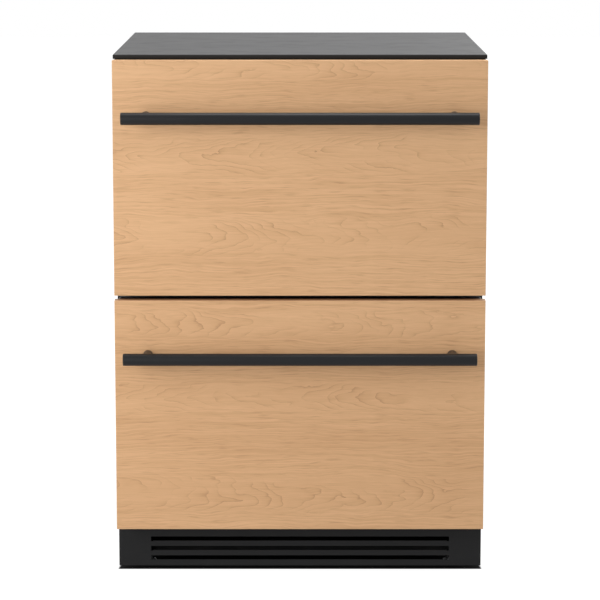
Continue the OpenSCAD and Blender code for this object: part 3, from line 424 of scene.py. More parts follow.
for node, obj in nodes.items():
    for materialSlot in obj.material_slots:
        materialSlot.material = finishOf(node)
print("finishes made:", len(finishes))


# Mesh helpers

def weld(bm):
    bmesh.ops.remove_doubles(bm, verts=bm.verts, dist=1e-6)


def mend(bm):
    weld(bm)
    bmesh.ops.recalc_face_normals(bm, faces=bm.faces)


def meshOf(bm, name, mended=False):
    if mended:
        mend(bm)
    bm.verts.index_update()
    mesh = bpy.data.meshes.new(name)
    mesh.from_pydata([v.co for v in bm.verts], [], [[v.index for v in face.verts] for face in bm.faces])
    bm.free()
    return mesh


def addPiece(node, mesh, name=None, crease=32, slotName=None, hides=True):
    mesh.materials.append(finishOf(node, slotName))
    return settle(newObject(name or node + "_dressed", mesh), node, crease, hides)


def settle(obj, node, crease=32, hides=True):
    obj.data.shade_smooth()
    obj.data.set_sharp_from_angle(angle=math.radians(crease))
    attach(obj, bodyOf[node])
    if hides:
        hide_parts(node)
    return obj


def easeEdges(bm, width, steps=2, angle=30):
    limit = math.radians(angle)
    edges = [e for e in bm.edges if len(e.link_faces) == 2 and e.calc_face_angle(0) > limit]
    bmesh.ops.bevel(bm, geom=edges, offset=width, segments=steps,
                    profile=0.5, affect="EDGES", clamp_overlap=True)


def cadCopy(node):
    bm = bmesh.new()
    bm.from_mesh(nodes[node].data)
    bmesh.ops.remove_doubles(bm, verts=bm.verts, dist=2e-6)
    bmesh.ops.dissolve_limit(bm, angle_limit=math.radians(0.5), verts=bm.verts, edges=bm.edges)
    return bm


def evenShading(piece):
    # broad faces shade flat, and only the eased edges turn
    shading = piece.modifiers.new("shading", "WEIGHTED_NORMAL")
    shading.keep_sharp = True


def dressNode(node, width):
    bm = cadCopy(node)
    easeEdges(bm, width)
    evenShading(addPiece(node, meshOf(bm, node)))


def joinInto(bm, other):
    held = bpy.data.meshes.new("held")
    other.to_mesh(held)
    other.free()
    bm.from_mesh(held)
    bpy.data.meshes.remove(held)


def addBox(bm, low, high):
    xs, ys, zs = zip(low, high)
    v = [bm.verts.new((x, y, z)) for x in xs for y in ys for z in zs]
    for quad in ((0, 1, 3, 2), (4, 6, 7, 5), (0, 4, 5, 1), (2, 3, 7, 6), (0, 2, 6, 4), (1, 5, 7, 3)):
        bm.faces.new([v[i] for i in quad])


def stitch(bm, rings, caps=True):
    made = [[bm.verts.new(point) for point in ring] for ring in rings]
    for low, high in zip(made, made[1:]):
        count = max(len(low), len(high))
        for i in range(count):
            j = (i + 1) % count
            quad = [low[i % len(low)], low[j % len(low)], high[j % len(high)], high[i % len(high)]]
            corners = [v for k, v in enumerate(quad) if v not in quad[:k]]
            bm.faces.new(corners)
    if caps:
        for ring in (made[0], made[-1]):
            if len(ring) > 2:
                bm.faces.new(ring)
    return made


def circle(radius, along, place, steps):
    if radius < 1e-7:
        return [place @ Vector((0, 0, along))]
    turn = 2 * math.pi / steps
    return [place @ Vector((radius * math.cos(i * turn), radius * math.sin(i * turn), along))
            for i in range(steps)]


def revolve(bm, profile, place, steps):
    stitch(bm, [circle(radius, along, place, steps) for radius, along in profile])


def roundedLoop(x0, x1, y0, y1, radius, z, steps=7):
    points = []
    left, right, front, back = x0 + radius, x1 - radius, y0 + radius, y1 - radius
    for x, y, start in ((right, back, 0), (left, back, 90), (left, front, 180), (right, front, 270)):
        for i in range(steps + 1):
            angle = math.radians(start + 90 * i / steps)
            points.append(Vector((x + radius * math.cos(angle), y + radius * math.sin(angle), z)))
    return points


def tubeAlong(bm, path, radius, bend, sides=14, turns=6):
    points = []
    for i, corner in enumerate(path):
        if i in (0, len(path) - 1):
            points.append(Vector(corner))
            continue
        before = (Vector(path[i - 1]) - Vector(corner)).normalized()
        after = (Vector(path[i + 1]) - Vector(corner)).normalized()
        middle = Vector(corner) + (before + after) * bend
        for k in range(turns + 1):
            angle = math.radians(90 * k / turns)
            points.append(middle - after * bend * math.cos(angle) - before * bend * math.sin(angle))
    side = Vector((0, 0, 1))     # the path starts level
    turn = 2 * math.pi / sides
    rings = []
    for i, point in enumerate(points):
        heading = (points[min(i + 1, len(points) - 1)] - points[max(i - 1, 0)]).normalized()
        side = (side - heading * side.dot(heading)).normalized()
        other = heading.cross(side)
        rings.append([point + (side * math.cos(k * turn) + other * math.sin(k * turn)) * radius
                      for k in range(sides)])
    stitch(bm, rings)


# Growing trees

def screwTree():
    t = GrowTree("screws", {"Screw": "Object", "Facing": "Rotation", "Seed": "Int"})
    info = t.make("GeometryNodeObjectInfo", None, {"Object": t.size("Screw")}, "Geometry")
    # each screw stops at its own angle, within about half a turn
    spin = t.make("FunctionNodeRandomValue", {"data_type": "FLOAT"}, {3: 3.1, "Seed": t.size("Seed")}, 1)
    turn = t.make("ShaderNodeCombineXYZ", None, {"Z": spin})
    placed = t.make("GeometryNodeInstanceOnPoints", None,
                    {"Points": t.size("Base"), "Instance": info, "Rotation": t.size("Facing")})
    spun = t.make("GeometryNodeRotateInstances", None, {"Instances": placed, "Rotation": turn})
    return t.close(spun)


def finTree():
    t = GrowTree("fins", {"Count": "Int", "Step": "Float", "Fin": "Vector", "Start": "Vector"})
    step = t.make("ShaderNodeCombineXYZ", None, {"X": t.size("Step")})
    line = t.make("GeometryNodeMeshLine", None,
                  {"Count": t.size("Count"), "Start Location": t.size("Start"), "Offset": step})
    fin = t.make("GeometryNodeMeshCube", None, {"Size": t.size("Fin")})
    return t.close(t.make("GeometryNodeInstanceOnPoints", None, {"Points": line, "Instance": fin}))


def bladeTree():
    t = GrowTree("blades", {"Blade": "Object", "Count": "Int"})
    info = t.make("GeometryNodeObjectInfo", None, {"Object": t.size("Blade")}, "Geometry")
    points = t.make("GeometryNodePoints", None, {"Count": t.size("Count")})
    turn = t.make("GeometryNodeInputIndex") * (2 * math.pi / t.size("Count"))
    facing = t.make("ShaderNodeCombineXYZ", None, {"Z": turn})
    return t.close(t.make("GeometryNodeInstanceOnPoints", None,
                          {"Points": points, "Instance": info, "Rotation": facing}))


def ballTree():
    t = GrowTree("balls", {"Radius": "Float"})
    ball = t.make("GeometryNodeMeshUVSphere", None,
                  {"Segments": 16, "Rings": 10, "Radius": t.size("Radius")})
    return t.close(t.make("GeometryNodeInstanceOnPoints", None,
                          {"Points": t.size("Base"), "Instance": ball}))


def barTree():
    t = GrowTree("turned_bar", {"Half": "Float", "Radius": "Float", "Ease": "Float", "Sides": "Int"})
    line = t.make("GeometryNodeMeshToCurve", None, {"Mesh": t.size("Base")})
    place = t.make("GeometryNodeInputPosition")
    x = t.make("ShaderNodeSeparateXYZ", None, {0: place})
    toEnd = t.size("Half") - x.math("ABSOLUTE")
    cut = (t.size("Ease") - toEnd).math("MAXIMUM", 0.0)
    # the end is rounded: a quarter circle of the ease's radius
    drop = t.size("Ease") - (t.size("Ease") ** 2 - cut * cut).math("MAXIMUM", 0.0).math("SQRT")
    ring = t.make("GeometryNodeCurvePrimitiveCircle", None, {"Resolution": t.size("Sides"), "Radius": 1.0})
    values = {"Curve": line, "Profile Curve": ring, "Scale": t.size("Radius") - drop, "Fill Caps": True}
    return t.close(t.make("GeometryNodeCurveToMesh", None, values))


trees = {
    "screws": screwTree(),
    "fins": finTree(),
    "blades": bladeTree(),
    "balls": ballTree(),
    "bar": barTree(),
}


def pointMesh(points):
    mesh = bpy.data.meshes.new("points")
    mesh.from_pydata([tuple(point) for point in points], [], [])
    return mesh


def template(bm, name):
    return newObject(name, meshOf(bm, name, True))


# Case

top = {"lip": 0.007, "skirt": 0.012, "sheet": 0.001, "fold": 0.0012}


def makeTop():
    low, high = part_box("top_panel")
    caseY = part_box("side_panel_left")[0].y     # the edge is lower from here back
    lipZ, skirtZ = high.z - top["lip"], high.z - top["skirt"]
    bm = bmesh.new()
    outline = [(low.x, low.y), (high.x, low.y), (high.x, caseY),
               (high.x, high.y), (low.x, high.y), (low.x, caseY)]
    feet = (lipZ, lipZ, skirtZ, skirtZ, skirtZ, lipZ)
    roof = [bm.verts.new((x, y, high.z)) for x, y in outline]
    bm.faces.new(roof)
    for a, z in enumerate(feet):
        b = (a + 1) % len(outline)
        foot = [bm.verts.new((*outline[k], z)) for k in (b, a)]
        bm.faces.new([roof[a], roof[b], *foot])
    piece = addPiece("top_panel", meshOf(bm, "top", True))
    sheetModifiers(piece, top["fold"], top["sheet"])


liner = {"round": 0.009, "steps": 5, "gauge": 0.002}


def makeLiner():
    low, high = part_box("inner_liner")
    skin, near = liner["gauge"], 1e-5
    innerX, backY = high.x - skin, high.y - skin
    floorZ, ceilingZ = low.z + skin, high.z - skin
    # the solid's inner corners tell where the step over the machine space lies
    bm = cadCopy("inner_liner")
    inside = [(round(v.co.y, 5), round(v.co.z, 5)) for v in bm.verts if abs(abs(v.co.x) - innerX) < near]
    bm.free()
    stepZ = min(z for y, z in inside if abs(y - backY) < 10 * near)
    stepY = max(y for y, z in inside if abs(z - floorZ) < 10 * near)
    outline = [(low.y, floorZ), (stepY, floorZ), (stepY, stepZ),
               (backY, stepZ), (backY, ceilingZ), (low.y, ceilingZ)]
    bm = bmesh.new()
    left = [bm.verts.new((-innerX, y, z)) for y, z in outline]
    right = [bm.verts.new((innerX, y, z)) for y, z in outline]
    for i in range(len(outline) - 1):
        bm.faces.new([left[i], left[i + 1], right[i + 1], right[i]])
    bm.faces.new(left[::-1])
    bm.faces.new(right)
    bmesh.ops.recalc_face_normals(bm, faces=bm.faces)
    # the faces look into the cavity, so that the gauge grows outwards
    floor = min(bm.faces, key=lambda face: face.calc_center_median().z)
    if floor.normal.z < 0:
        bmesh.ops.reverse_faces(bm, faces=bm.faces)
    piece = addPiece("inner_liner", meshOf(bm, "liner"))
    fold = piece.modifiers.new("round", "BEVEL")
    fold.width, fold.segments, fold.limit_method = liner["round"], liner["steps"], "ANGLE"
    gauge = piece.modifiers.new("gauge", "SOLIDIFY")
    gauge.thickness, gauge.offset = skin, -1
    evenShading(piece)


kick = {
    "sheet": 0.002, "fold": 0.0014, "edge": 0.00035,
    "slots": (0.0204, 0.0366, 0.0528), "slotH": 0.0072, "slotHalf": 0.2495,
    "notch": (0.0032, 0.0011),     # at the lower corners of each slot
}


def makeKick():
    low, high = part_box("kick_grille")
    half = kick["slotHalf"]
    notchW, notchH = kick["notch"]
    xs = [low.x, -half, notchW - half, half - notchW, half, high.x]
    zs, holes = [low.z], set()
    for middle in kick["slots"]:
        foot = middle - kick["slotH"] / 2
        row = len(zs)
        zs += [foot - notchH, foot, foot + kick["slotH"]]
        holes |= {(1, row), (3, row), (1, row + 1), (2, row + 1), (3, row + 1)}
    zs.append(high.z)
    bm = bmesh.new()
    grid = [[bm.verts.new((x, low.y, z)) for z in zs] for x in xs]
    for i in range(len(xs) - 1):
        for j in range(len(zs) - 1):
            if (i, j) not in holes:
                bm.faces.new([grid[i][j], grid[i + 1][j], grid[i + 1][j + 1], grid[i][j + 1]])
    rim = [[(x, low.z) for x in xs], [(high.x, z) for z in zs],
           [(x, high.z) for x in xs[::-1]], [(low.x, z) for z in zs[::-1]]]
    for run in rim:
        for (x0, z0), (x1, z1) in zip(run, run[1:]):
            points = [(x0, low.y, z0), (x0, high.y, z0), (x1, high.y, z1), (x1, low.y, z1)]
            bm.faces.new([bm.verts.new(point) for point in points])
    weld(bm)
    loose = [v for v in bm.verts if not v.link_faces]
    bmesh.ops.delete(bm, geom=loose, context="VERTS")
    bmesh.ops.dissolve_limit(bm, angle_limit=0.01, verts=bm.verts, edges=bm.edges)
    bmesh.ops.recalc_face_normals(bm, faces=bm.faces)
    piece = addPiece("kick_grille", meshOf(bm, "kick"))
    sheetModifiers(piece, kick["fold"], kick["sheet"], kick["edge"])


def sheetModifiers(piece, fold, sheet, edge=0.0):
    folds = piece.modifiers.new("fold", "BEVEL")
    folds.width, folds.segments, folds.limit_method = fold, 3, "ANGLE"
    gauge = piece.modifiers.new("gauge", "SOLIDIFY")
    gauge.thickness, gauge.offset, gauge.use_even_offset = sheet, -1, True
    if edge:
        cut = piece.modifiers.new("cut", "BEVEL")
        cut.width, cut.segments, cut.limit_method, cut.angle_limit = edge, 2, "ANGLE", math.radians(60)
    evenShading(piece)


makeTop()
makeLiner()
makeKick()
for node, width in {
    "side_panel_left": 0.0004, "side_panel_right": 0.0004, "back_panel": 0.0003, "rear_cover": 0.0003,
    "base_pan": 0.0003, "bottom_plate": 0.0003, "front_frame": 0.0003, "mullion_rail": 0.0012,
    "fan_shroud": 0.0004, "evaporator_cover": 0.0006, "drip_trough": 0.0004,
    "drain_pan": 0.0005, "control_module": 0.0012, "light_bars": 0.0012, "cord_gland": 0.0005,
    "compressor": 0.0008, "compressor_grommets": 0.0006, "condenser_fan_motor": 0.0006,
    "evaporator_fan_motor": 0.0005, "refrigerant_lines": 0.0003, "insulation": 0.0004,
}.items():
    dressNode(node, width)
print("case done")


# Coils

coil = {
    # node: fin step, number of tube passes, tube radius
    "condenser_coil": (0.0034, 6, 0.004),
    "evaporator_coil": (0.0052, 6, 0.004),
}
coilBody = {
    "fin": 0.0003, "inset": 0.001, "margin": 0.004,     # thickness, and how far inside the plates it ends
    "plate": 0.0015, "ease": 0.0003,
    "port": 0.006, "foot": 0.020,
    "bend": 0.999,     # a hair under half the rise, so that the two bends of a return stay apart
}


def makeCoil(node, step, passes, radius):
    low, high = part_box(node)
    middleY = (low.y + high.y) / 2
    rise = (high.z - low.z - 2 * coilBody["foot"]) / (passes - 1)
    bulge = rise / 2
    port, plate = coilBody["port"], coilBody["plate"]
    # the return bends reach past the ports, so the block's ends come from the bends
    left, right = low.x + port + bulge + radius, high.x - port - bulge - radius
    bm = bmesh.new()
    for x in (left, right - plate):
        addBox(bm, (x, low.y, low.z), (x + plate, high.y, high.z))
    easeEdges(bm, coilBody["ease"])
    addPiece(node, meshOf(bm, node + "_plates"), node + "_plates")
    bm = bmesh.new()
    path = []
    for i in range(passes):
        z = low.z + coilBody["foot"] + i * rise
        ends = (left - port, right + port)
        first, last = ends if i % 2 == 0 else ends[::-1]
        reach = bulge if i % 2 == 0 else -bulge
        path.append((first if i == 0 else first - reach, middleY, z))
        path.append((last if i == passes - 1 else last + reach, middleY, z))
    tubeAlong(bm, path, radius, bulge * coilBody["bend"])
    addPiece(node, meshOf(bm, node + "_tube", True), node + "_tube", slotName="copper", hides=False)
    count = int((right - left - 2 * plate) / step)
    start = ((left + right) / 2 - (count - 1) * step / 2, middleY, (low.z + high.z) / 2)
    fin = (coilBody["fin"], high.y - low.y - 2 * coilBody["inset"], high.z - low.z - 2 * coilBody["margin"])
    grown = trees["fins"].grow(node + "_fins", pointMesh([]), finishes["coil_aluminium"],
                               Count=count, Step=step, Fin=fin, Start=start)
    settle(grown, node, hides=False)


for node, facts in coil.items():
    makeCoil(node, *facts)
print("coils done")


# Fans

fans = {
    # node: its joint, the radius of the hub and of the bore, the pitch at the hub in degrees
    "condenser_fan_blades": ("condenser_fan_spin", 0.020, 0.00305, 48),
    "evaporator_fan_blades": ("evaporator_fan_spin", 0.011, 0.00155, 46),
}
hubShape = {
    "ease": 0.0015, "arc": 0.3, "wall": 0.0015, "boss": 0.003, "sides": 64,
    "web": 0.3, "bossTop": 0.9,     # shares of the hub's depth
}
blade = {
    "count": 5, "rings": 9, "root": 0.001, "reach": 0.985,
    "tipPitch": 26, "sweep": 16,
    "chord": 0.92, "most": 0.94,     # shares of the chord that would fill the hub's depth
    # from root to tip the chord swells along a stretch of a sine
    "narrow": 0.72, "swell": 0.36, "swellFrom": 0.25, "swellOver": 0.55,
    "thick": 0.0011, "camber": 0.0014,
    # one ring: along the chord, and out from it in thicknesses
    "section": ((-0.5, 0.0), (-0.3, 0.9), (0.0, 1.15), (0.3, 0.75),
                (0.5, 0.0), (0.3, -0.15), (0.0, 0.15), (-0.3, 0.1)),
}


def bladeRing(part, hub, tip, depth, pitchAtHub):
    start = hub - blade["root"]
    radius = start + (tip * blade["reach"] - start) * part
    pitch = math.radians(pitchAtHub + (blade["tipPitch"] - pitchAtHub) * part)
    swell = math.sin(math.pi * (blade["swellFrom"] + blade["swellOver"] * part))
    full = depth / math.sin(pitch)
    chord = full * min(blade["chord"] * (blade["narrow"] + blade["swell"] * swell), blade["most"])
    sweep = math.radians(blade["sweep"]) * part * part
    ring = []
    for along, up in blade["section"]:
        u = along * chord
        v = up * blade["thick"] + blade["camber"] * (1 - 4 * along * along)
        angle = sweep + (u * math.cos(pitch) - v * math.sin(pitch)) / radius
        deep = u * math.sin(pitch) + v * math.cos(pitch) + depth / 2
        ring.append(Vector((radius * math.cos(angle), radius * math.sin(angle), deep)))
    return ring


def makeHub(node, hub, bore, depth, place):
    ease, arc = hubShape["ease"], hubShape["ease"] * hubShape["arc"]
    inner, boss = hub - hubShape["wall"], bore + hubShape["boss"]
    web, bossTop = depth * hubShape["web"], depth * hubShape["bossTop"]
    bm = bmesh.new()
    revolve(bm, [(bore, 0), (hub - ease, 0), (hub - arc, arc), (hub, ease), (hub, depth), (inner, depth),
                 (inner, web), (boss, web), (boss, bossTop), (bore, bossTop)], place, hubShape["sides"])
    weld(bm)
    caps = [f for f in bm.faces if len(f.verts) > 4]
    bmesh.ops.delete(bm, geom=caps, context="FACES_ONLY")
    loops = [e for e in bm.edges if len(e.link_faces) == 1]
    bmesh.ops.bridge_loops(bm, edges=loops)
    addPiece(node, meshOf(bm, node + "_hub", True), node + "_hub")


def makeFan(node, joint, hub, bore, pitchAtHub):
    low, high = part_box(node)
    # five blades don't fill their box evenly, so the axis comes from the joint
    spin = next(entry for entry in record["behaviour"]["joints"] if entry["name"] == joint)
    axis = Vector(spin["pos_m"])
    tip, depth = high.x - axis.x, high.y - low.y
    place = Matrix.Translation((axis.x, low.y, axis.z)) @ Matrix.Rotation(math.radians(-90), 4, "X")
    makeHub(node, hub, bore, depth, place)
    bm = bmesh.new()
    last = blade["rings"] - 1
    stitch(bm, [bladeRing(i / last, hub, tip, depth, pitchAtHub) for i in range(last + 1)])
    source = template(bm, "blade")
    grown = trees["blades"].grow(node + "_vanes", pointMesh([]), finishes["fan_plastic"],
                                 Blade=source, Count=blade["count"])
    grown.data.transform(place)
    bpy.data.objects.remove(source)
    settle(grown, node, hides=False)


for node, facts in fans.items():
    makeFan(node, *facts)
print("fans done")


# Levelling legs

legs = {
    "padH": 0.008, "padEdge": 0.0015, "arc": 0.4, "sides": 64,
    "hex": 0.010, "hexTop": 0.0247, "hexEase": 0.0005, "hexSink": 0.0005,
    "thread": 0.0015, "root": 0.0044, "crest": 0.005, "steps": 20,
    "stemSink": 0.001, "tip": 0.0008,
}


def addThread(bm, place, height):
    steps, pitch, foot = legs["steps"], legs["thread"], legs["hexTop"]
    count = steps * int((height - legs["stemSink"] - foot) / pitch)
    roots, crests = [], []
    for i in range(count + steps + 1):
        angle = 2 * math.pi * i / steps
        z = foot - pitch + i * pitch / steps
        for made, radius, lift in ((roots, legs["root"], 0), (crests, legs["crest"], pitch / 2)):
            point = Vector((radius * math.cos(angle), radius * math.sin(angle), z + lift))
            made.append(bm.verts.new(place @ point))
    for i in range(count):
        bm.faces.new([roots[i], roots[i + 1], crests[i + 1], crests[i]])
        bm.faces.new([crests[i], crests[i + 1], roots[i + steps + 1], roots[i + steps]])
    for at in (0, count):
        # each end of the thread closes inside the stem
        loop = [*roots[at:at + steps + 1], crests[at]]
        middle = bm.verts.new(place @ Vector((0, 0, foot - pitch / 2 + at * pitch / steps)))
        for a, b in zip(loop, loop[1:] + loop[:1]):
            bm.faces.new([a, b, middle])


def makeLeg(node):
    low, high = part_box(node)
    centre = (low + high) / 2
    place = Matrix.Translation((centre.x, centre.y, low.z))
    pad, height = (high.x - low.x) / 2, high.z - low.z
    edge, arc, padH = legs["padEdge"], legs["padEdge"] * legs["arc"], legs["padH"]
    bm = bmesh.new()
    revolve(bm, [(0, 0), (pad - edge, 0), (pad - arc, arc), (pad, edge), (pad, padH / 2),
                 (pad - padH / 2, padH), (0, padH)], place, legs["sides"])
    prism = bmesh.new()
    stitch(prism, [circle(legs["hex"], z, place, 6) for z in (padH - legs["hexSink"], legs["hexTop"])])
    easeEdges(prism, legs["hexEase"])
    joinInto(bm, prism)
    addThread(bm, place, height)
    root, tip, foot = legs["root"], legs["tip"], legs["hexTop"] - legs["stemSink"]
    revolve(bm, [(0, foot), (root, foot), (root, height - tip), (root - tip, height), (0, height)],
            place, legs["steps"])
    addPiece(node, meshOf(bm, node, True))


for side in ("front_left", "front_right", "rear_left", "rear_right"):
    makeLeg("leg_" + side)
print("legs done")


# Drawers

panel = {"ease": 0.0005, "steps": 3}


def makePanel(tier):
    node = tier + "_panel"
    low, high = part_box(node)
    bm = bmesh.new()
    addBox(bm, low, high)
    bmesh.ops.recalc_face_normals(bm, faces=bm.faces)
    easeEdges(bm, panel["ease"], panel["steps"])
    evenShading(addPiece(node, meshOf(bm, node)))


bar = {"ease": 0.0011, "easeSteps": 5, "sides": 128, "postEase": 0.0004}


def makeBar(tier):
    node = tier + "_handle_bar"
    low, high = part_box(node)
    centre = (low + high) / 2
    half, ease, steps = high.x, bar["ease"], bar["easeSteps"]
    # close stations along the rounded ends, and none between them but the middle one
    ends = [half - ease * (1 - math.cos(math.radians(90 * i / steps))) for i in range(steps, -1, -1)]
    stations = [-x for x in ends[::-1]] + [0.0] + ends
    line = bpy.data.meshes.new("line")
    line.from_pydata([(x, 0, 0) for x in stations], [(i, i + 1) for i in range(len(stations) - 1)], [])
    grown = trees["bar"].grow(node + "_turned", line, finishes["handle_black"],
                              Half=half, Radius=(high.y - low.y) / 2, Ease=ease, Sides=bar["sides"])
    grown.data.transform(Matrix.Translation((0, centre.y, centre.z)))
    settle(grown, node, crease=40)
    dressNode(tier + "_handle_posts", bar["postEase"])


bins = {
    "inset": 0.006, "wall": 0.0025, "corner": 0.024,
    "fillet": 0.008, "inFillet": 0.0095, "filletSteps": 4,
    "rim": 0.0057, "rimT": 0.003, "ease": 0.0006,
    "ribs": 7, "rib": (0.004, 0.0015), "ribSink": 0.0005,
}


def makeBin(tier):
    node = tier + "_bin"
    low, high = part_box(node)
    halfX, wall, corner = high.x - bins["inset"], bins["wall"], bins["corner"]
    outer, inner, ease = bins["fillet"], bins["inFillet"], bins["ease"]
    rim, rimZ = bins["rim"], high.z - bins["rimT"]
    arc = [math.radians(90 * i / bins["filletSteps"]) for i in range(bins["filletSteps"] + 1)]
    # inset of the sides, inset of the ends and height, up the outside and down the inside
    profile = [(outer * (1 - math.sin(a)), outer * (1 - math.sin(a)), low.z + outer * (1 - math.cos(a)))
               for a in arc]
    profile += [(0, 0, rimZ), (-rim, 0, rimZ), (-rim, 0, high.z - ease), (ease - rim, ease, high.z),
                (wall - ease, wall - ease, high.z), (wall, wall, high.z - ease)]
    for a in arc:
        inset = wall + inner * (1 - math.cos(a))
        profile.append((inset, inset, low.z + wall + inner * (1 - math.sin(a))))
    bm = bmesh.new()
    stitch(bm, [roundedLoop(inX - halfX, halfX - inX, low.y + inY, high.y - inY, corner - max(0, inX), z)
                for inX, inY, z in profile])
    mend(bm)
    ribW, ribH = bins["rib"]
    pitch = 2 * (halfX - corner) / (bins["ribs"] + 1)
    ribs = bmesh.new()
    for i in range(1, bins["ribs"] + 1):
        x = corner - halfX + i * pitch
        addBox(ribs, (x - ribW / 2, low.y + corner, low.z + wall - bins["ribSink"]),
               (x + ribW / 2, high.y - corner, low.z + wall + ribH))
    bmesh.ops.recalc_face_normals(ribs, faces=ribs.faces)
    easeEdges(ribs, ease)
    joinInto(bm, ribs)
    addPiece(node, meshOf(bm, node), crease=28)


gasket = {"width": 0.013, "waist": 0.0026, "foot": 0.0016, "magnet": 0.0026, "ease": 0.0006}


def makeGasket(tier):
    node = tier + "_gasket"
    low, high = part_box(node)
    depth, ease = high.y - low.y, gasket["ease"]
    width, waist, foot, magnet = gasket["width"], gasket["waist"], gasket["foot"], gasket["magnet"]
    # half of the section, in from the outer edge and out from the front's liner
    half = [(0, 0), (0, foot * 0.7), (waist * 0.4, foot), (waist, foot * 1.35),
            (waist * 1.05, depth * 0.42), (waist * 0.3, depth * 0.52), (waist * 0.25, depth * 0.56),
            (waist, depth - magnet * 1.1), (ease * 2 / 3, depth - magnet), (0, depth - magnet * 0.8),
            (0, depth - ease), (ease, depth)]
    section = half + [(width - u, v) for u, v in half[::-1]]
    rings = [[Vector((x, low.y + v, z)) for x, z in ((low.x + u, low.z + u), (high.x - u, low.z + u),
                                                     (high.x - u, high.z - u), (low.x + u, high.z - u))]
             for u, v in section]
    bm = bmesh.new()
    stitch(bm, [*rings, rings[0]], caps=False)
    addPiece(node, meshOf(bm, node, True), crease=50)


cage = {
    "web": 0.0006, "strip": 0.0008, "ease": 0.00015, "ball": 0.0016, "step": 0.040,
    "coverGap": 0.0003,     # the evaporator's cover ends this far from the cavity's wall
    # from the cavity's wall: web, mouth and balls
    "outer": (0.0020, 0.0090, 0.0062),
    "inner": (0.0050, 0.0110, 0.0086),
}


def makeCages(tier):
    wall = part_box("evaporator_cover")[1].x + cage["coverGap"]
    strip = cage["strip"]
    for kind in ("outer", "inner"):
        node = f"{tier}_{kind}_cages"
        low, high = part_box(node)
        middle = (low.z + high.z) / 2
        web, mouth, ballX = cage[kind]
        reach = high.z - middle - cage["ball"]
        tall, inner = reach + strip / 2, web + cage["web"]
        section = [(web, -tall), (mouth, -tall), (mouth, strip - tall), (inner, strip - tall),
                   (inner, tall - strip), (mouth, tall - strip), (mouth, tall), (web, tall)]
        bm, points = bmesh.new(), []
        for side in (-1, 1):
            stitch(bm, [[Vector((side * (wall - deep), y, middle + up)) for deep, up in section]
                        for y in (low.y, high.y)])
            points += [(side * (wall - ballX), low.y + (i + 0.5) * cage["step"], middle + turn * reach)
                       for i in range(int((high.y - low.y) / cage["step"])) for turn in (-1, 1)]
        easeEdges(bm, cage["ease"], 1)
        addPiece(node, meshOf(bm, node, True))
        balls = trees["balls"].grow(node + "_balls", pointMesh(points), finishes["slide_steel"],
                                    Radius=cage["ball"])
        settle(balls, node, crease=180, hides=False)


screwHead = {
    "radius": 0.0035, "rise": 0.0016, "sides": 24,
    "profile": ((1.0, 0.0), (1.0, 0.35), (0.9, 0.75), (0.68, 1.0)),     # shares of radius and rise
    "arm": 0.0016, "slot": 0.0005, "sink": 0.0007, "taper": 0.8,
}


def makeScrew():
    radius, rise = screwHead["radius"], screwHead["rise"]
    arm, half, taper = screwHead["arm"], screwHead["slot"], screwHead["taper"]
    plus = [(arm, -half), (arm, half), (half, half), (half, arm), (-half, arm), (-half, half),
            (-arm, half), (-arm, -half), (-half, -half), (-half, -arm), (half, -arm), (half, -half)]
    level = Matrix.Identity(4)
    bm = bmesh.new()
    made = stitch(bm, [circle(radius * wide, rise * up, level, screwHead["sides"])
                       for wide, up in screwHead["profile"]], caps=False)
    bm.faces.new(made[0][::-1])
    rim = [bm.verts.new((x, y, rise)) for x, y in plus]
    floor = [bm.verts.new((x * taper, y * taper, rise - screwHead["sink"])) for x, y in plus]
    pairs = list(zip(range(len(plus)), [*range(1, len(plus)), 0]))
    edges = [bm.edges.new((rim[i], rim[j])) for i, j in pairs]
    outer = [e for e in bm.edges if all(v in made[-1] for v in e.verts)]
    bmesh.ops.triangle_fill(bm, edges=edges + outer, use_beauty=True)
    # the fill also covers the cross, which opens again
    inside = []
    for face in bm.faces:
        x, y = [abs(value) for value in face.calc_center_median().xy]
        if all(v in rim for v in face.verts) and min(x, y) < half and max(x, y) < arm:
            inside.append(face)
    bmesh.ops.delete(bm, geom=inside, context="FACES_ONLY")
    for i, j in pairs:
        bm.faces.new([rim[i], rim[j], floor[j], floor[i]])
    bm.faces.new(floor)
    return template(bm, "screw")


screwSource = makeScrew()
quarter = math.radians(90)
facing = {"back": (-quarter, 0, 0), "left": (0, -quarter, 0), "right": (0, quarter, 0)}


def driveScrews(name, node, points, way, seed):
    grown = trees["screws"].grow(name, pointMesh(points), finishes["slide_steel"],
                                 Screw=screwSource, Facing=facing[way], Seed=seed)
    settle(grown, node, hides=False)


for tier in tiers:
    makePanel(tier)
    makeBar(tier)
    makeBin(tier)
    makeGasket(tier)
    makeCages(tier)
    for part, width in {
        "front_pan": 0.0003, "front_core": 0.0003, "front_liner": 0.0009, "drawer_frame": 0.0004,
        "slide_outers": 0.0002, "slide_middles": 0.0002, "slide_inners": 0.0002,
    }.items():
        dressNode(f"{tier}_{part}", width)
    print(tier, "drawer done")


# Screws

screwRows = {
    "inset": 0.011, "across": (-0.145, 0.0, 0.145),
    "coverZ": (0.045, 0.128, 0.214),
    "panelZ": (0.246, 0.392, 0.538, 0.684, 0.830),
    # along the inner slide members: the last screw is set from the drawer frame's rear end
    "slideY": (-0.190, -0.115, -0.040), "fromRear": 0.02, "seat": 0.0051,
}


def rearScrews():
    inset, across = screwRows["inset"], screwRows["across"]
    low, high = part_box("rear_cover")
    points = [(x, high.y, z) for x in (low.x + inset, high.x - inset) for z in screwRows["coverZ"]]
    points += [(x, high.y, high.z - inset) for x in across]
    driveScrews("rear_cover_screws", "rear_cover", points, "back", seed=3)
    low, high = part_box("back_panel")
    points = [(x, high.y, z) for x in (low.x + inset, high.x - inset) for z in screwRows["panelZ"]]
    points += [(x, high.y, screwRows["panelZ"][0]) for x in across]
    driveScrews("back_panel_screws", "back_panel", points, "back", seed=5)


